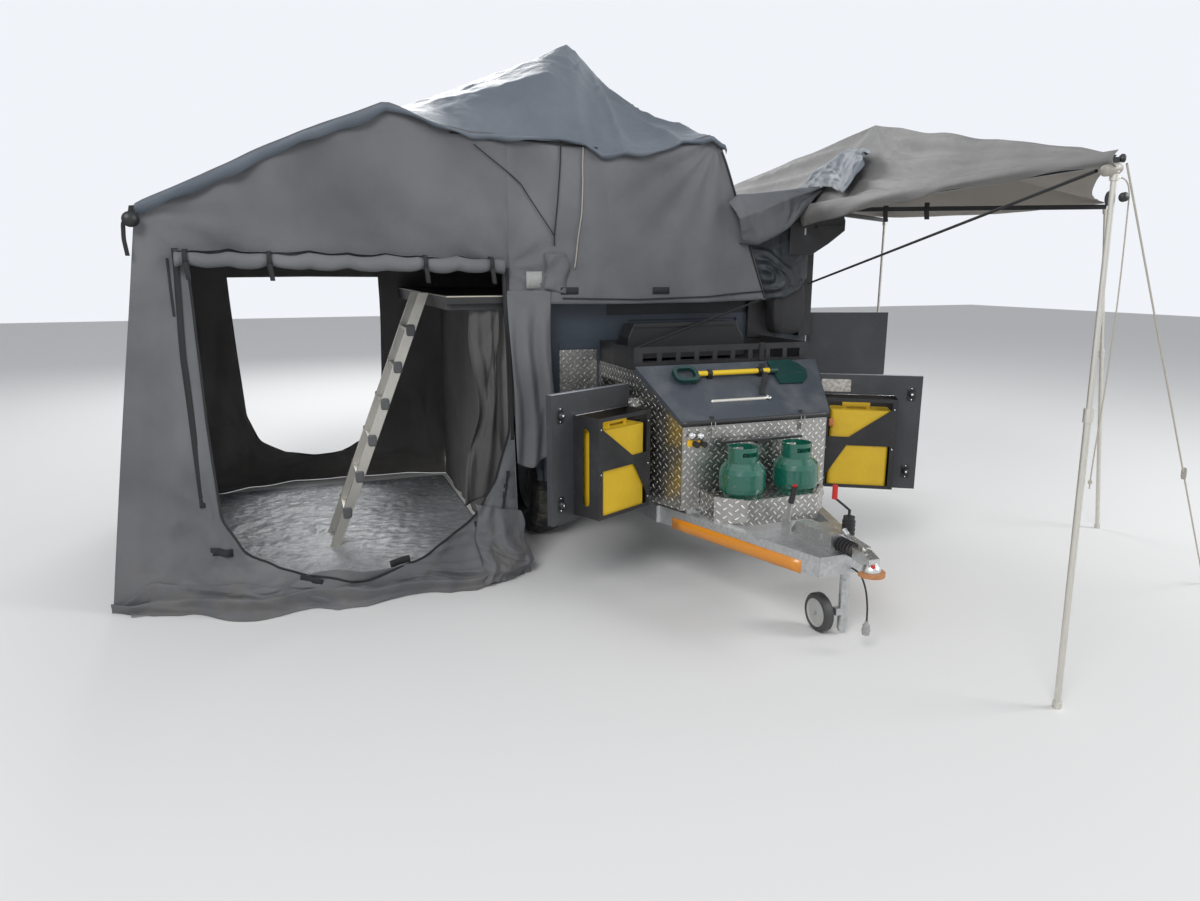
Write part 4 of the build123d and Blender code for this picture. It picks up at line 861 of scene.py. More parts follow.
def fly_points(ridge_x, share, seed):
    """Front half of the fly, ruled by straight lines that lean towards the peak.

    ridge_x is where a line meets the ridge and share the part of its way up from the edge. Between hoop and hip the
    sheet has a knee, steep below and flatter above it; right of the hip sharp pleats fan out.
    """
    lean = 0.15 * np.clip(1 - np.abs(ridge_x - peak[0]) / np.where(ridge_x < peak[0], 1.2, 0.6), 0, 1)
    x = ridge_x - lean * (1 - share)
    y = tent_front - 0.012 + share * (peak[1] - tent_front + 0.012)
    low, high = np.interp(ridge_x - lean, *fly_edge.T), np.interp(ridge_x, *fly_ridge.T)
    bent = 0.24 * rise(ridge_x, -1.86, -1.35) * (1 - 0.75 * rise(ridge_x, -0.80, -0.60))
    knee = 0.46
    climb = np.where(share < knee, share * (knee + bent) / knee,
                     knee + bent + (share - knee) * (1 - knee - bent) / (1 - knee))
    z = low + (high - low) * climb
    turn = np.arctan2(x + 0.43, 2.66 - y)
    far = np.hypot(x + 0.43, 2.66 - y)
    pleat = ridge(7.0 * turn + 0.4) ** 1.6 * rise(ridge_x, -0.585, -0.50) * rise(far, 0.03, 0.35)
    z = z + 0.060 * pleat * (0.35 + 0.65 * rise(share, 0.0, 0.2)) - 0.010
    creases = 0.012 * crumple(x + 0.3 * y, y * 1.5, 0.30, 51 + seed) + 0.006 * crumple(x, y * 1.3, 0.12, 52 + seed)
    z = z + creases * rise(share, 0.0, 0.12) * (0.35 + 0.65 * rise(x, -1.9, -1.5))
    return xyz(x, y, z + 0.008 * waves(x, y, 0.7, 53 + seed) * rise(share, 0.0, 0.2))


def hem_rows(edge, out):
    """The hem below an edge: two close rows make its fold crisp, then it drops by 2 to 7 cm with a wavy border."""
    x = edge[..., 0]
    drop = 0.026 + 0.007 * np.sin(9 * x) + 0.004 * np.sin(31 * x) + 0.034 * (1 - rise(x, -1.95, -1.75))
    wave = 0.016 + 0.005 * np.sin(17 * x + 1)
    return [edge + (0.0, out * 0.019, -0.001), edge + (0.0, out * 0.0205, -0.0045),
            edge + xyz(0 * x, out * wave, -drop)]


s, t = np.meshgrid(np.linspace(-3.085, 0.178, 270), np.linspace(0, 1, 74))
front_half = fly_points(s, t, 0)
back_half = fly_points(s, t, 7)[::-1]
back_half[..., 1] = tent_front + tent_back - back_half[..., 1]
middle = np.linspace(0, 1, 26)[1:-1, None, None]
hung = mix(front_half[-1], back_half[0], middle)
hung[..., 2] += (0.012 * waves(hung[..., 0], hung[..., 1], 0.6, 57) - 0.02) * np.sin(np.pi * middle[..., 0])
cover = np.concatenate(hem_rows(front_half[:1], -1)[::-1] + [front_half, hung, back_half] + hem_rows(back_half[-1:], 1))
# The right end folds over the bow and hangs a little below the top of the end wall.
end = cover[:, -1:]
end_y = end[..., 1]
border = np.minimum(end[..., 2] - 0.030, 2.528 + 0.008 * np.sin(5 * end_y) + 0.004 * np.sin(17 * end_y))
end_hem = [end + (0.010, 0.0, -0.003), end + (0.015, 0.0, -0.009),
           xyz(end[..., 0] + 0.026 + 0.004 * np.sin(9 * end_y), end_y, border)]
sheet("fly", np.concatenate([cover] + end_hem, axis=1), fly_finish, (-1.5, 3.0, 1.0), coated_thick, "fly_grey",
      (3.95, 3.2), "stretched", lining, "tent_roof")


# Groundsheet: a shiny coated sheet that lies loose and wrinkled on the ground inside the annex.
# It reaches out a little under the foot of the front and rear walls.
sheet_finish = cloth("coated_groundsheet", (0.40, 0.415, 0.435), (0.26, 0.275, 0.30), rough=0.26, crease=0.014,
                     dirt=(0.30, 0.29, 0.27))
left, right, nearest, farthest = -3.30, -1.235, tent_front - 0.115, tent_back + 0.060
s, t = np.meshgrid(np.linspace(left, right, 150), np.linspace(nearest, farthest, 170))
edge_in = np.clip(np.minimum(np.minimum(s - left, right - s), np.minimum(t - nearest, farthest - t)) * 6, 0, 1)
lift = 0.006 + edge_in * (0.018 * np.clip(crumple(s, t, 0.33, 61), 0, 1.4) + 0.006 * np.abs(waves(s, t, 0.13, 62)))
sheet("groundsheet", xyz(s, t, lift), sheet_finish, (-2.2, 3.0, -5.0), coated_thick, "groundsheet", (2.10, 2.52),
      "laid", stands_for="annex_floor")


# Door roll: the rolled-up front door of the annex, tied under the eave with four black straps.
# A roll is a spiral of cloth, so its ends show turns and its skin has soft dents between the straps.
roll_start, roll_end = np.array((-2.915, 1.829, 1.855)), np.array((-1.225, 1.829, 1.822))
roll_radius, roll_turns, ties = 0.045, 3, (0.03, 0.262, 0.735, 0.955)
strap_radius, strap_start, strap_turn, strap_hangs = 0.041, -0.6, 6.9, 0.11


def spiral_roll(seed):
    """Cloth wound round the roll's line: its radius grows along the angle, and dips at each tie."""
    s, angle = np.meshgrid(np.linspace(0, 1, 120), np.linspace(0, 2 * np.pi * roll_turns, 26 * roll_turns))
    way = unit(roll_end - roll_start)
    up = np.cross(way, (0.0, 1.0, 0.0))
    pinch = sum(bell(s - tie, 0.018) for tie in ties)
    skin = (angle / (2 * np.pi * roll_turns)) * 0.55 + 0.45
    wobble = 1 + 0.14 * waves(s * 1.7, angle * 0.04, 0.35, seed) + 0.12 * crumple(s * 1.7, angle * 0.05, 0.16, seed)
    r = roll_radius * skin * wobble * (1 - 0.22 * pinch)
    sag = 0.012 * np.sin(2 * np.pi * (s - ties[0]) / (ties[1] - ties[0]))
    centre = roll_start + (roll_end - roll_start) * s[..., None] + xyz(0.0, 0.0, -np.abs(sag))
    return centre + (r * np.cos(angle))[..., None] * up + (r * np.sin(angle))[..., None] * np.array([0.0, -1.0, 0.0])


roll_cloth = cloth("roll_canvas", (0.190, 0.194, 0.203), (0.130, 0.133, 0.140))
sheet("door_roll_cloth", spiral_roll(71), roll_cloth, (-2.07, 1.829, 1.84), light_thick, "canvas_grey", (1.69, 0.62),
      "gathered", stands_for="door_roll", offset=0.0)


def ribbon(name, line, width, look, side=None, thickness=0.0014, body="trailer", slot="black_rubber"):
    """A flat strap along a line of points: each row is the line moved sideways by half the width."""
    line = np.asarray(line, float)
    way = np.gradient(line, axis=0)
    way /= np.linalg.norm(way, axis=1)[:, None]
    across = np.asarray(side, float) if side is not None else np.cross(way, (0.0, 1.0, 0.0))
    across = np.broadcast_to(across, line.shape) / np.linalg.norm(across, axis=-1, keepdims=True)
    share = np.linspace(-0.5, 0.5, 3)[:, None, None]
    strap = surface(name, line[None] + across[None] * share * width, look)
    return hold(thicken(strap, thickness, offset=0.0), body)


for k, tie in enumerate(ties):
    x, y, z = mix(roll_start, roll_end, tie)
    turn = np.linspace(strap_start, strap_start + strap_turn, 44)
    loop = xyz(x, y - strap_radius * np.sin(turn), z + strap_radius * np.cos(turn))
    tail_y = y - strap_radius - 0.005
    tail = along([(x + 0.004, tail_y, z - 0.05), (x + 0.010, tail_y, z - strap_hangs)], 6)
    ribbon("roll_strap_%d" % (k + 1), np.concatenate([loop, tail]), 0.024, piping, side=(1, 0, 0))


# Trim on the canvas: zips down both sides of the doorway, short hook-and-loop tabs round its lower edge,
# a bare patch where a label would be, a sewn flap, and dark piping on the tent's edges.
def trim(name, points, count, off, width, look=piping, place=front, smooth=1, **kind):
    """A ribbon on the canvas through (x, height) points, off metres in front of it."""
    flat = along(points, count, smooth)
    ribbon(name, place(flat[:, 0], flat[:, 1], off), width, look, **kind)


for name, points, width in (("door_zip_left", [(-2.915, 1.90), (-2.925, 1.35), (-2.908, 0.75), (-2.904, 0.56)], 0.030),
                            ("door_zip_right", [(-1.20, 1.80), (-1.198, 1.10), (-1.205, 0.80)], 0.022),
                            ("door_zip_low", [(-1.245, 0.62), (-1.30, 0.40)], 0.022),
                            ("side_zip_left", [(-2.954, 1.85), (-2.948, 1.56)], 0.012)):
    trim(name, points, 60, 0.003, width)
trim("doorway_binding", doorway_front, 220, 0.0015, 0.012, smooth=3, thickness=0.004)
trim("rear_doorway_binding", doorway_back, 200, 0.0015, 0.012, place=back, smooth=3, thickness=0.004)
tabs = ((-2.83, 0.325, -0.05), (-2.395, 0.150, -0.35), (-1.92, 0.195, 0.15), (-1.42, 0.345, 0.2),
        (-0.815, 1.668, 0.0), (-0.215, 1.665, 0.0))
for k, (x, z, tilt) in enumerate(tabs):
    half = np.array([0.056, 0.056 * tilt])
    trim("tab_%d" % (k + 1), [(x, z) - half, (x, z) + half], 8, 0.004, 0.042)
trim("tent_corner_piping", [(0.180, 2.50), (0.538, 1.61)], 50, 0.002, 0.012, thickness=0.006)
trim("tent_foot_cord", [(-0.86, 1.625), (-0.36, 1.612), (0.10, 1.625), (0.535, 1.655)], 60, 0.006, 0.007,
     thickness=0.006)
patch = Look("bare_patch", (0.56, 0.56, 0.55), 0.6)
patch_noise = patch.noise(90.0, 3.0)
patch.set(Base_Color=patch.tint(patch_noise, (0.40, 0.40, 0.395), (0.26, 0.26, 0.255)),
          Roughness=patch_noise * 0.2 + 0.5)
trim("blank_patch", [(-1.085, 1.733), (-0.985, 1.733)], 8, 0.002, 0.098, patch, slot="canvas_grey")
flap_rows = np.linspace(0, 1, 14)[:, None]
flap_x = np.array([[-0.972, -0.93, -0.90, -0.87, -0.832]]) + 0.012 * np.sin(4 * flap_rows)
flap_z = 1.885 - 0.235 * flap_rows * (0.85 + 0.15 * np.cos(8 * flap_x))
sheet("tent_flap", front(flap_x, flap_z, 0.012 + 0.010 * np.sin(9 * flap_rows + 40 * flap_x)), canvas,
      (-0.9, 3.0, 1.7), light_thick, "canvas_grey", (0.24, 0.14), "hung")


# Side flap: a loose curtain of the same canvas beside the annex's inner corner.
# It hangs from the tent's foot and closes the gap to the trailer's body.
s, t = grid(30, 60)
curtain_x = -1.205 + s * (0.275 - 0.02 * np.sin(3 * t)) + 0.02 * t
curtain_z = 1.672 - t * (1.01 + 0.04 * np.sin(5 * s))
folds = 0.020 * np.sin(15 * s + 2.4 * t + 1.2 * np.sin(6 * t)) + 0.026 * crumple(s * 0.28, t * 0.7, 0.22, 75)
curtain_y = (front(curtain_x, np.maximum(curtain_z, floor_z), 0.004)[..., 1] - 0.070 * rise(t, 0.0, 0.75)
             - rise(t, 0.02, 0.4) * folds)
sheet("side_curtain", xyz(curtain_x, curtain_y, curtain_z), canvas, (-1.0, 3.0, 1.2), light_thick, "canvas_grey",
      (0.32, 1.04), "hung", lining)


# Tensioned lines of the fly: two dark elastic cords and a cream one from its edge to loops on the wall, and a
# slender dark rod just under the edge. All are taut and end in sewn loops.
for name, points, thick, look in (
        ("fly_line_slanted", [(-1.373, 2.47), (-1.10, 2.27), (-0.905, 1.985)], 0.005, piping),
        ("fly_line_dark", [(-0.862, 2.51), (-0.905, 1.985), (-0.905, 1.93)], 0.006, piping),
        ("fly_line_cream", [(-0.728, 2.52), (-0.745, 2.10), (-0.782, 1.80)], 0.006, rope_finish),
        ("fly_edge_rod", [(-1.50, 2.525), (-0.64, 2.485)], 0.008, piping)):
    trim(name, points, 50, 0.008, thick, look, thickness=thick)


# Awning: one fan-shaped sheet of taupe ripstop, beige underneath, over five arms and a raised peak.
# It is cut in five panels that meet on the arms and sag a little. The two panels beside the hub lie in folds that
# run together at their tips.
awning_cloth = cloth("awning_taupe", (0.285, 0.278, 0.270), (0.200, 0.196, 0.192), rough=0.52, crease=0.010)
awning_under = cloth("awning_beige", (0.30, 0.275, 0.24), (0.25, 0.23, 0.205), crease=0.006)
awning_rim = np.array([(0.84, 1.87, 2.190), (0.43, -0.61, 2.200), (2.45, 1.03, 2.200), (2.12, 2.70, 2.200),
                       (1.06, 4.08, 2.36)])
awning_top = np.array([1.20, 1.72, 2.692])
per_panel = 30
corner = np.concatenate([awning_rim, awning_rim[:1]])
place = np.arange(5 * per_panel)
panel, share = place // per_panel, (place % per_panel) / per_panel
rim = mix(corner[panel], corner[panel + 1], share[:, None])
between = hump(share)
pull = awning_top[:2] - rim[:, :2]
rim[:, :2] += pull * (0.055 * between)[:, None] * (panel > 0)[:, None]
rows = np.linspace(0.0, 1, 46)[:, None]
fan_cloth = awning_top + (rim - awning_top)[None] * rows[..., None]
flat_u, flat_v = fan_cloth[..., 0], fan_cloth[..., 1]
sag = 0.055 * between[None] * hump(rows) + 0.03 * between[None] * rows
fan_cloth[..., 2] += -sag + 0.016 * waves(flat_u, flat_v, 0.8, 81) * hump(rows) ** 0.7
near = (panel == 0)[None] * between[None] * rows
for number, tip_share, fades in ((0, share, (0.12, 0.30)), (4, 1 - share, (0.08, 0.25))):
    to_tip = rows * tip_share
    to_hub = rows * (1 - tip_share)
    across = to_hub / np.maximum(to_hub + 1 - rows, 1e-6)
    waist = across + 0.04 * np.sin(2 * np.pi * across) * (1 + to_tip)
    crest = (1 - np.abs(np.cos(4 * np.pi * waist))) ** 1.4
    fan_cloth[..., 2] += (panel == number) * 0.072 * (1 - to_tip) * crest * rise(to_tip, *fades)
fan_cloth[..., 1] -= near * 0.040 * crumple(flat_u + flat_v, rows * 0.8 + 0 * flat_u, 0.30, 83)
fan_cloth[..., 2] += 0.010 * crumple(flat_u, flat_v, 0.4, 84) * rows
sheet("awning_sheet", fan_cloth, awning_cloth, (1.3, 1.7, 1.5), awning_thick, "awning_taupe", (2.6, 4.9), "stretched",
      awning_under, "awning_canopy", around=True, area=6.6)

# Edge flap along the first arm: the sheet's own hem, doubled and sewn.
# It hangs a hand's width below the arm, deeper near the hub.
s, t = grid(90, 14)
edge_start, edge_end = np.array([0.80, 1.86, 2.192]), np.array([0.43, -0.63, 2.202])
hang_line = edge_start + (edge_end - edge_start) * s[..., None]
deep = 0.055 + 0.085 * (1 - s) ** 1.5 - 0.02 * hump(s)
hang_line[..., 0] -= 0.020 + 0.018 * hump(t) + 0.012 * np.sin(19 * s + 3 * t) * t
hang_line[..., 2] += 0.01 - deep * t + 0.006 * np.sin(23 * s) * t
sheet("awning_edge_flap", hang_line, awning_cloth, (1.5, 0.6, 2.15), awning_thick, "awning_taupe", (2.52, 0.11),
      "hung", awning_under)


# Awning bag: the travel cover, unzipped. It droops between the tent and the hub in folds that run down from its
# upper right corner, and its shiny lining is thrown back over the sheet.
s, t = grid(110, 60)
bag_top = [(0.21, 1.83, 2.205), (0.27, 1.815, 2.250), (0.53, 1.80, 2.285), (0.78, 1.79, 2.306), (0.905, 1.80, 2.318)]
bag_low = [(0.33, 1.85, 1.955), (0.42, 1.80, 1.945), (0.53, 1.775, 1.990), (0.62, 1.770, 2.035),
           (0.71, 1.775, 2.120), (0.83, 1.785, 2.250), (0.905, 1.798, 2.312)]
bag = ruled(bag_top, bag_low, 110, 60, 2, 3)
turn = np.arctan2(2.33 - bag[..., 2], 0.93 - bag[..., 0])
far = np.hypot(2.33 - bag[..., 2], 0.93 - bag[..., 0])
droop = 0.055 * rise(far, 0.05, 0.5) + 0.028 * ridge(8 * turn + 0.5) * rise(far, 0.02, 0.2)
bag[..., 1] -= hump(t) ** 0.7 * droop
bag[..., 1] -= 0.016 * crumple(s * 0.6, t * 0.35, 0.15, 91) * hump(t) ** 0.5
bag[..., 2] -= 0.010 * np.sin(9 * t + 4 * s) * hump(s)
bag_back = bag[::-1].copy()
bag_back[..., 1] = 1.885 + 0.01 * hump(s)
bag_finish = cloth("coated_bag_cloth", (0.125, 0.132, 0.142), (0.080, 0.086, 0.095), rough=0.42, crease=0.007)
sheet("awning_bag", np.concatenate([bag, bag_back]), bag_finish, (0.55, 1.84, 2.13), canvas_thick, "awning_taupe",
      (0.72, 0.54), "gathered", stands_for="awning_cover")

s, t = grid(90, 60)
flap_far = [(0.93, 2.07, 2.350), (1.02, 2.05, 2.455), (1.06, 1.80, 2.545), (1.00, 1.52, 2.515), (0.93, 1.40, 2.475)]
flap_near = [(0.84, 1.98, 2.290), (0.86, 1.86, 2.300), (0.84, 1.66, 2.300), (0.73, 1.37, 2.225), (0.86, 1.36, 2.400)]
flap = ruled(flap_far, flap_near, 90, 60, 3, 3)
off_awning = np.array([-0.786, 0.132, 0.603])
lift = 0.014 + 0.030 * crumple(s * 0.75, t * 0.35, 0.15, 95) + 0.030 * ridge(5 * s + 2.5 * t + 0.4) ** 2
free = 0.25 + 0.75 * np.sin(np.pi * np.clip(t, 0.02, 1)) ** 0.5
flap += off_awning * (np.maximum(lift, 0.003) * free)[..., None]
flap_back = cloth("silver_coated_cloth", (0.235, 0.262, 0.292), (0.145, 0.168, 0.195), rough=0.34, crease=0.006)
sheet("awning_thrown_flap", flap, flap_back, (1.4, 1.9, 2.1), awning_thick, "fly_grey", (0.78, 0.30), "draped")


# Bag tail: the travel cover's dark loose end. It hangs behind the bag, between the tent's edge and the post, and its
# foot is looped up and tied at the left, so its folds run in arcs round the tie.
s, t = grid(100, 110)
tail_top = [(0.387, 1.905, 2.020), (0.620, 1.905, 2.100), (0.862, 1.900, 2.200)]
tail_low = [(0.553, 1.895, 1.598), (0.595, 1.872, 1.603), (0.640, 1.838, 1.616), (0.760, 1.832, 1.664),
            (0.862, 1.890, 1.740)]
tail = ruled(tail_top, tail_low, 100, 110, 2, 3)
tail_x, tail_z = tail[..., 0], tail[..., 2]
from_tie = np.hypot((tail_x - 0.520) / 1.25, tail_z - 1.760 + 0.25 * (tail_x - 0.520))
arcs = (1 - np.abs(np.cos(np.pi * from_tie / 0.060 + 0.9 * waves(tail_x, tail_z, 0.25, 112)))) ** 0.8
bundle = np.exp(-(from_tie / 0.150) ** 4) * free_middle(s, 8)
tail[..., 1] -= bundle * (0.030 + 0.036 * arcs) + 0.012 * crumple(tail_x, tail_z, 0.12, 111) * hump(s)
tail_cloth = cloth("dark_tail_cloth", (0.036, 0.043, 0.050), (0.022, 0.027, 0.032), rough=0.38, crease=0.006)
sheet("awning_bag_tail", tail, tail_cloth, (0.65, 2.40, 1.90), canvas_thick, "black_rubber", (0.46, 0.48), "hung")


# Side bag: a soft black storage bag of coated nylon, strapped to the awning post.
# It is half full, so its corners are round, its sides sag and its zip lies in a dent.
def squared(value, power):
    """The value raised to a power with its sign kept: a low power makes a round section square."""
    return np.sign(value) * np.abs(value) ** power


s, t = np.meshgrid(np.linspace(0, 2 * np.pi, 84), np.linspace(0, 1, 46))
bag_low_corner, bag_high_corner = np.array([0.600, 1.845, 1.370]), np.array([0.845, 1.9995, 1.760])
bag_mid = (bag_low_corner + bag_high_corner) / 2
bag_half = (bag_high_corner - bag_low_corner) / 2
in_out = np.cos((t - 0.5) * np.pi) ** 0.35
swell = 0.94 + 0.05 * np.cos(2.4 * (t - 0.35)) + 0.03 * waves(np.cos(s) * 0.3, t * 0.4 + np.sin(s) * 0.1, 0.2, 101)
zip_dent = 0.010 * bell(t - 0.78, 0.03) * (np.sin(s) < 0)
soft_bag = xyz(bag_mid[0] + bag_half[0] * squared(np.cos(s), 0.42) * in_out * swell,
               bag_mid[1] + bag_half[1] * squared(np.sin(s), 0.42) * in_out * swell - zip_dent,
               bag_mid[2] + bag_half[2] * squared(np.sin((t - 0.5) * np.pi), 0.75))
nylon = cloth("black_nylon", (0.014, 0.014, 0.015), (0.024, 0.024, 0.026), rough=0.6, crease=0.006)
side_bag = outward(surface("side_bag_cloth", soft_bag[:, :-1], nylon, around=True), bag_mid)
hold(side_bag, stands_for="side_bag")


# Small metal pieces are turned or pressed. A turned piece is a profile of (distance along, radius) carried round a
# line; a pressed plate is a rounded rectangle with a small bevel on both faces.
def placed(origin, way, flat):
    """Carries (right, up, out) offsets to a place: out runs along way, right lies level or along X."""
    way = unit(way)
    right = np.cross((0.0, 0.0, 1.0), way)
    right = np.array([1.0, 0.0, 0.0]) if np.linalg.norm(right) < 1e-4 else unit(right)
    up = np.cross(way, right)
    return np.asarray(origin, float) + flat[..., :1] * right + flat[..., 1:2] * up + flat[..., 2:] * way


def solid_at(name, origin, way, flat, depth, look, body, smooth):
    """A closed piece from its (right, up, out) offsets, faced away from the point depth out of its origin."""
    piece = surface(name, placed(origin, way, flat), look, around=True, smooth=smooth)
    return hold(outward(piece, np.asarray(origin) + unit(way) * depth), body)


def turned(name, origin, way, profile, look, body="trailer", around=24):
    """x = r cos a, y = r sin a, z = distance along the line, for each (distance, radius) of the profile."""
    profile = np.asarray(profile, float)
    angle = np.linspace(0, 2 * np.pi, around, endpoint=False)
    flat = xyz(profile[:, 1:] * np.cos(angle), profile[:, 1:] * np.sin(angle), profile[:, :1])
    return solid_at(name, origin, way, flat, profile[:, 0].mean(), look, body, True)


def pressed(name, origin, way, size, look, body="trailer", corner=0.25, bevel=0.12):
    """A superellipse outline, |x|^n + |y|^n = 1, in five rows: back centre, back, front edge, bevel, front centre.

    size is (width, height, depth).
    """
    width, height, depth = size
    angle = np.linspace(0, 2 * np.pi, 48, endpoint=False)
    ring = np.stack([squared(np.cos(angle), corner) * width / 2, squared(np.sin(angle), corner) * height / 2], axis=-1)
    trim_by = bevel * min(width, height)
    rows = [np.concatenate([ring * scale, np.full((48, 1), out)], axis=1) for scale, out in (
        (0.0, 0.0), (1.0, 0.0), (1.0, depth - trim_by * 0.5), (1 - 2 * trim_by / min(width, height), depth),
        (0.0, depth))]
    return solid_at(name, origin, way, np.stack(rows), depth / 2, look, body, False)


def joined(name, pieces):
    """Puts like small pieces of one body into one object."""
    first = pieces[0]
    first.name = name
    mesh = bmesh.new()
    for piece in pieces:
        mesh.from_mesh(piece.data)
    mesh.to_mesh(first.data)
    mesh.free()
    for piece in pieces[1:]:
        bpy.data.objects.remove(piece)


polished = mottled("polished_steel", (0.72, 0.72, 0.72), 0.16, 1.0, grain=(120.0, 4.0, 0.22, 0.08),
                   tints=(40.0, 4.0, (0.80, 0.80, 0.80), (0.60, 0.60, 0.60)))
satin_black = mottled("satin_black", (0.016, 0.016, 0.017), 0.42, grain=(90.0, 4.0, 0.25, 0.3),
                      bump=(300.0, 2.0, 0.0003))


# Nose doors: turned latch knobs on plates, screws round the can holders, and folded top edges.
# All ride on the doors, so they are placed on the closed door and swung with it.
round_head = np.array([(0.0, 0.0045), (0.0012, 0.0045), (0.0024, 0.0034), (0.0030, 0.0018), (0.0031, 0.0)])
button = ((0.0, 0.0), (0.0, 0.019), (0.004, 0.019), (0.006, 0.016), (0.012, 0.015), (0.014, 0.012), (0.014, 0.0))
# The doors' top edges are light grey, streaked strips: a painted highlight where light catches the folded edge. The
# holders' edges are bright zinc.
edge_painted_highlight = Look("door_edge_painted_highlight", (0.40, 0.42, 0.45), 0.35, 0.2)
edge_painted_highlight.set(Base_Color=edge_painted_highlight.tint(edge_painted_highlight.noise(25.0, 6.0, stretch=(1.0, 1.0, 4.0)), (0.52, 0.54, 0.57),
                                        (0.26, 0.28, 0.31)))
door_angles = {"right": 117, "left": 122}
latch_y = 0.552


def on_door(side, x, y, z):
    """A closed door's point, metres out from the box's side, behind the hinge line and up, swung open and mirrored."""
    pin_x, pin_y = 0.631, 1.372
    turn = math.radians(door_angles[side])
    swung_x = pin_x + x * math.cos(turn) + y * math.sin(turn)
    swung_y = pin_y - x * math.sin(turn) + y * math.cos(turn)
    return np.array([swung_x if side == "left" else -swung_x, swung_y, z])


for side in ("right", "left"):
    body = "nose_door_" + side
    out = on_door(side, 1.0, 0.0, 0.0) - on_door(side, 0.0, 0.0, 0.0)
    knobs, plates, screws = [], [], []
    for height in (0.575, 1.055):
        plates.append(pressed("plate", on_door(side, 0.0003, latch_y, height), out, (0.052, 0.088, 0.003), satin_black,
                              body, 0.4))
        knobs.append(turned("knob", on_door(side, 0.0122, latch_y, height), out, button, satin_black,
                            body))
        screws += [(0.0260, latch_y, height, 1.6), (0.0034, latch_y, height - 0.034, 1.0),
                   (0.0034, latch_y, height + 0.034, 1.0)]
    screws += [(0.1856, y, z, 1.0) for y, z in ((0.052, 0.985), (0.052, 0.555), (0.436, 0.985), (0.436, 0.745),
                                                (0.052, 0.745))]
    heads = [turned("head", on_door(side, x, y, z), out, round_head * size, polished, body, 12)
             for x, y, z, size in screws]
    joined("latch_plates_" + side, plates)
    joined("latch_knobs_" + side, knobs)
    joined("door_screws_" + side, heads)
    folded_edge = dict(side=out, thickness=0.0012, body=body, slot="galvanised")
    ribbon("door_top_edge_" + side, [on_door(side, -0.020, 0.004, 1.1656), on_door(side, -0.020, 0.608, 1.1656)],
           0.039, edge_painted_highlight, **folded_edge)
    rim_line = np.array([on_door(side, 0.002, 0.036, 1.0458), on_door(side, 0.002, 0.452, 1.0458)])
    ribbon("holder_top_edge_" + side, rim_line + out * 0.012, 0.022, bright, **folded_edge)
reflector_lens = Look("orange_reflector", (0.62, 0.16, 0.02), 0.15, Coat_Weight=0.7)
cells = reflector_lens.add("TexVoronoi", {"Vector": reflector_lens.place, "Scale": 330.0}, out="Distance")
reflector_lens.set(Base_Color=reflector_lens.tint(cells, (0.75, 0.22, 0.03), (0.45, 0.09, 0.01)),
                   Normal=reflector_lens.relief(cells, 0.002))
pressed("door_reflector", on_door("left", 0.1856, 0.078, 0.900), out, (0.026, 0.046, 0.007), reflector_lens,
        "nose_door_left")
bare_plate = Look("bare_door_plate", (0.46, 0.44, 0.41), 0.32, 0.35)
mottle = bare_plate.noise(55.0, 6.0)
bare_plate.set(Base_Color=bare_plate.tint(mottle.between(0.35, 0.65), (0.56, 0.54, 0.50), (0.34, 0.32, 0.30)),
               Roughness=mottle * 0.3 + 0.2)
pressed("door_plate", on_door("left", 0.0003, 0.109, 1.097), out, (0.175, 0.076, 0.0015), bare_plate,
        "nose_door_left", 0.12, 0.01)


# Lid: a black edge seal, a flat stay bar with round ends, wire hooks for the two catches, and a strap that ties the
# shovel down. Distances are up the slope from the lid's lower edge and out of its face.
lid_tilt = math.atan(0.255 / 0.342)
lid_edge_y, lid_edge_z = 1.018, 0.9968


def on_lid(x, up, out):
    """x across, up along the slope, out square to the lid: rotated by the lid's tilt from its lower front edge."""
    up, out = np.asarray(up, float), np.asarray(out, float)
    return xyz(x, lid_edge_y + up * math.cos(lid_tilt) - out * math.sin(lid_tilt),
               lid_edge_z + up * math.sin(lid_tilt) + out * math.cos(lid_tilt))


lid_out = on_lid(0.0, 0, 1) - on_lid(0.0, 0, 0)
seal_line = along([(-0.470, 1.0168, 0.981), (0.470, 1.0168, 0.981)], 20)
ribbon("lid_seal_front", seal_line, 0.030, satin_black, side=(0, 0, 1), thickness=0.002, body="nose_lid",
       slot="black_steel")
stay_start, stay_end, stay_up, stay_half = -0.245, 0.118, 0.135, 0.010
bar_x, bar_turn = np.meshgrid(np.linspace(stay_start, stay_end, 40), np.linspace(0, np.pi, 14))
thin = np.clip(np.minimum(bar_x - stay_start, stay_end - bar_x) / 0.008, 0, 1) ** 0.5
stay = on_lid(bar_x, stay_up + stay_half * np.cos(bar_turn) * thin, 0.001 + 0.011 * np.sin(bar_turn) * thin)
hold(outward(surface("lid_stay_bar", stay, alloy), (0, 1.13, 1.05)), "nose_lid")
pivot = ((0.0, 0.0), (0.0, 0.017), (0.012, 0.017), (0.016, 0.012), (0.017, 0.0))
turned("stay_bar_pivot", on_lid(0.125, 0.137, 0.0), lid_out, pivot, bright, "nose_lid")
hooks, loops = [], []
hook_wire = ((0, 0), (0, 0.0040), (0.020, 0.0040), (0.020, 0))
catch_wire = ((0.0, 0.002), (0.052, 0.002), (0.052, 0.0))
for x in (-0.285, 0.285):
    hooks += [pressed("hook", on_lid(x, 0.016, 0.0), lid_out, (0.026, 0.024, 0.003), satin_black,
                      "nose_lid", 0.35),
              turned("hook", on_lid(x - 0.010, 0.010, 0.005), (1, 0, 0), hook_wire, satin_black,
                     "nose_lid", 14)]
    loops += [turned("wire", (x + dx, 1.0105, 0.985), (0, -0.10, -1), catch_wire, polished, around=8)
              for dx in (-0.012, 0.012)]
joined("lid_catch_hooks", hooks)
joined("catch_wires", loops)
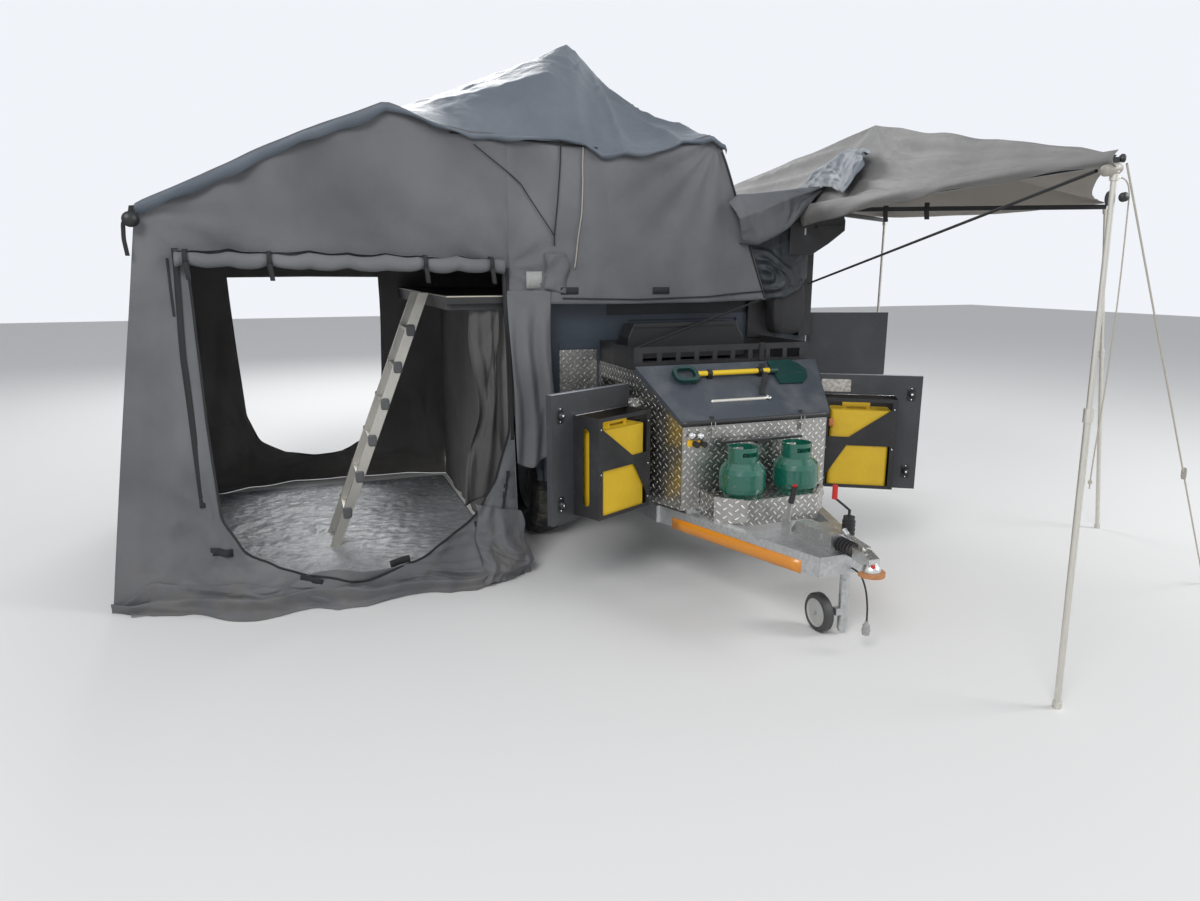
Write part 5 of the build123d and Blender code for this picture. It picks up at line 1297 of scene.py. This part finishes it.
over = [(0.415, 0.002), (0.330, 0.004), (0.305, 0.040), (0.275, 0.052), (0.245, 0.040), (0.215, 0.006), (0.165, 0.003)]
lid_strap = np.array([on_lid(0.100 + 0.456 * (up - 0.170), up, out + 0.002) for up, out in over])
ribbon("shovel_strap", along(lid_strap, 50, 3), 0.036, piping, side=(1, 0, 0), thickness=0.002, body="nose_lid")
basket_strap = along([(0.258, 1.440, 1.364), (0.257, 1.4280, 1.364), (0.256, 1.4285, 1.30), (0.254, 1.4285, 1.255)],
                     30, 1)
ribbon("basket_strap", basket_strap, 0.036, piping, side=(1, 0, 0), thickness=0.002)


# Gas gear: two round taps of knurled steel, each with a yellow handle plate under it.
# They are fixed to the front of the nose box, beside the bottles.
knurled = ((0.0, 0.0), (0.0, 0.014), (0.010, 0.014), (0.010, 0.020), (0.026, 0.021), (0.028, 0.016), (0.036, 0.015),
           (0.038, 0.010), (0.039, 0.0))
taps, handles = [], []
handle_yellow = mottled("yellow_handle", (0.80, 0.47, 0.02), 0.4, grain=(80.0, 3.0, 0.2, 0.3))
for x, z in ((-0.412, 0.918), (-0.360, 0.912)):
    taps.append(turned("tap", (x, 1.0295, z), (0, -1, 0), knurled, polished, around=28))
    handles.append(pressed("handle", (x, 1.0292, z - 0.044), (0, -1, 0), (0.040, 0.038, 0.010), handle_yellow,
                           corner=0.45))
joined("gas_taps", taps)
joined("gas_tap_handles", handles)


# Drawbar: orange marking tape on the outer face of both beams, and a red wear mark on the coupling head.
# The tape is stuck on, and small cells in it throw light back.
tape_finish = Look("marking_tape", (0.72, 0.26, 0.015), 0.32, Coat_Weight=0.4)
honey = tape_finish.add("TexVoronoi", {"Vector": tape_finish.cut(), "Scale": 240.0}, out="Distance")
tape_finish.set(Base_Color=tape_finish.tint(honey * tape_finish.noise(14.0, 5.0), (0.78, 0.29, 0.02),
                                            (0.56, 0.19, 0.012)))
beam_y, beam_x, beam_half, beam_z = (0.200, 1.310), (0.120, 0.480), 0.02705, 0.394
for side, sign in (("right", -1), ("left", 1)):
    y = np.linspace(0.290, 1.150, 12)
    outer_face = sign * (np.interp(y, beam_y, beam_x) + beam_half)
    ribbon("marking_tape_" + side, xyz(outer_face, y, beam_z), 0.066, tape_finish, side=(0, 0, 1), thickness=0.0006,
           slot="guard_rubber")
red_mark = mottled("red_mark", (0.52, 0.012, 0.012), 0.35, grain=(200.0, 2.0, 0.2, 0.28))
towards = unit((-0.35, -0.62, 0.70))
ball_height, head_radius = 0.455, 0.0428
turned("wear_mark", np.array([0, 0, ball_height]) + towards * head_radius, towards,
       ((0, 0), (0, 0.010), (0.0015, 0.010), (0.0022, 0.008), (0.0022, 0)), red_mark)


# Awning fittings: a light end cap and a dark knob on the first arm, steel cheek plates at the hub, hook-and-loop
# ties under the sheet, an oval pulley on the second pole, and the taut guy line with its tensioner and stake.
cap_finish = mottled("light_end_cap", (0.34, 0.32, 0.28), 0.45, grain=(70.0, 3.0, 0.2, 0.35))
for name, origin, way, profile, look, slot, around in (
        ("awning_end_cap", (0.380, -0.606, 2.140), (0.99, 0.02, 0.16),
         ((0, 0), (0, 0.014), (0.006, 0.020), (0.030, 0.022), (0.066, 0.022), (0.080, 0.016), (0.086, 0.008),
          (0.087, 0)), cap_finish, "pole_alloy", 24),
        ("awning_end_knob", (0.470, -0.600, 2.176), (0.2, 0, 1),
         ((0, 0), (0, 0.011), (0.008, 0.013), (0.020, 0.012), (0.027, 0.006), (0.028, 0)), satin_black,
         "black_steel", 24),
        ("guy_pulley", (0.462, -0.628, 2.050), (-0.25, -1.0, 0.1),
         ((0, 0), (0, 0.016), (0.003, 0.017), (0.006, 0.012), (0.010, 0.012), (0.013, 0.017), (0.016, 0.016),
          (0.016, 0)), satin_black, "black_steel", 28)):
    turned(name, origin, way, profile, look, around=around)


def cut_plate(name, outline, back_y, front_y, look):
    """A flat plate square to Y, cut to an (x, height) outline: centre, edge, edge and centre again."""
    ring = along(outline + outline[:1], 121)[:-1]
    centre = ring.mean(axis=0)
    rows = []
    for scale, y in ((0.0, back_y), (1.0, back_y), (1.0, front_y + 0.002), (0.985, front_y), (0.0, front_y)):
        flat = centre + (ring - centre) * scale
        rows.append(xyz(flat[:, 0], y, flat[:, 1]))
    plate = surface(name, np.stack(rows), look, around=True, smooth=False)
    hold(outward(plate, (centre[0], (back_y + front_y) / 2, centre[1])))


cut_plate("hub_gusset", [(0.690, 1.885), (0.688, 2.070), (0.800, 2.200), (0.880, 2.290), (0.985, 2.285), (1.075, 2.185),
                         (1.112, 2.110), (1.112, 2.045), (0.990, 1.960), (0.860, 1.886)], 1.852, 1.846, black_coat)
cut_plate("gusset_stiffener", [(0.880, 2.060), (0.880, 2.072), (1.090, 2.078), (1.096, 2.066)], 1.847, 1.832,
          black_coat)
pressed("gusset_tag", (0.802, 1.846, 2.035), (0, -1, 0), (0.012, 0.045, 0.002), cap_finish, corner=0.3)
cut_plate("post_side_panel", [(0.470, 1.345), (0.474, 1.585), (0.660, 1.600), (0.700, 1.345)], 1.9980, 1.972,
          black_coat)
cut_plate("basket_crate", [(-0.470, 1.252), (-0.462, 1.385), (-0.428, 1.462), (0.278, 1.465), (0.345, 1.362),
                           (0.352, 1.252)], 1.960, 1.800, satin_black)
cut_plate("crate_rim", [(-0.434, 1.446), (-0.430, 1.470), (0.280, 1.473), (0.296, 1.449)], 1.801, 1.788, satin_black)
pressed("pole_pulley", (2.452, 1.012, 2.225), (-0.85, -0.5, 0), (0.050, 0.090, 0.024), satin_black,
        corner=0.9)
for k, (x, y) in enumerate(((1.02, 1.34), (1.08, 1.06))):
    tie = along([(x, y, 2.168), (x - 0.004, y - 0.002, 2.12), (x + 0.01, y + 0.004, 2.075)], 16, 2)
    ribbon("awning_tie_%d" % (k + 1), tie, 0.028, piping, side=(0.9, -0.4, 0))


def taut_line(name, start, end, first, last, count, thick, look):
    """A round line from share first to share last of the way from start to end: eight-sided rings square to it."""
    start, end = np.array(start), np.array(end)
    points = start + (end - start) * np.linspace(first, last, count)[:, None]
    way = unit(points[-1] - points[0])
    right = unit(np.cross(way, (0.0, 0.0, 1.0)))
    up = np.cross(right, way)
    angle = np.linspace(0, 2 * np.pi, 8, endpoint=False)[None, :, None]
    rings = points[:, None] + (np.cos(angle) * right + np.sin(angle) * up) * thick / 2
    hold(outward(surface(name, rings, look, around=True), points.mean(axis=0)))


guy_start, guy_end = np.array([0.478, -0.616, 2.168]), np.array([2.48, 0.115, 0.020])
tensioner_share = 0.64
beside = np.array([0.011, 0.008, 0.0])
taut_line("taut_guy_line", guy_start, guy_end, 0, 1, 40, 0.008, rope_finish)
pressed("guy_tensioner", guy_start + (guy_end - guy_start) * tensioner_share, (-0.6, -0.75, 0.1),
        (0.022, 0.060, 0.010), cap_finish, corner=0.5)
taut_line("guy_tail", guy_start + beside, guy_end + beside, 0.42, tensioner_share, 12, 0.008, rope_finish)
for name, start, end in (("arm_strap", (0.352, -0.600, 2.140), (0.880, 1.897, 1.700)),
                         ("crate_strap", (0.500, 1.860, 1.601), (-0.573, 1.657, 1.301)),
                         ("rear_tip_strap", (1.048, 4.056, 2.186), (1.060, 4.078, 2.352))):
    taut_line(name, start, end, 0, 1, 40, 0.014, piping)
stake = ((0.0, 0.0), (0.002, 0.004), (0.030, 0.006), (0.080, 0.006), (0.084, 0.012), (0.094, 0.013), (0.098, 0.007),
         (0.098, 0.0))
turned("ground_stake", (2.50, 0.100, 0.001), (-0.25, 0.1, 1), stake, bright, around=16)


# Eave reel: a strap wound on a small black reel, with its loose end hanging from it.
# It is tied to the corner of the eave that the view shows farthest left.
reel = ((0.0, 0.0), (0.0, 0.038), (0.004, 0.038), (0.005, 0.028), (0.022, 0.028), (0.023, 0.038), (0.027, 0.038),
        (0.027, 0.0))
turned("eave_reel", (-3.092, 1.838, 2.035), (0.3, -1, 0), reel, satin_black, around=28)
reel_strap = along([(-3.080, 1.835, 2.100), (-3.088, 1.828, 2.060), (-3.122, 1.826, 2.020), (-3.128, 1.830, 1.94),
                    (-3.120, 1.832, 1.86)], 30, 2)
ribbon("eave_reel_strap", reel_strap, 0.020, piping, side=(0.5, 0.1, 0))


# Ladder: each rung is held by grey moulded brackets.
# They sit on the outer faces of both stiles.
bracket_grey = mottled("grey_bracket", (0.14, 0.145, 0.15), 0.5, grain=(60.0, 3.0, 0.2, 0.38))
ladder_foot, ladder_top, steps = np.array([-2.235, 0.0]), np.array([-1.583, 1.6453]), 7
front_stile, rear_stile = 2.5370, 2.9030
brackets = []
for rung in range(1, steps):
    x, z = mix(ladder_foot, ladder_top, rung / steps)
    for y, way in ((front_stile, -1), (rear_stile, 1)):
        brackets.append(pressed("bracket", (x, y, z), (0, way, 0), (0.055, 0.075, 0.012), bracket_grey,
                                corner=0.4))
joined("ladder_brackets", brackets)
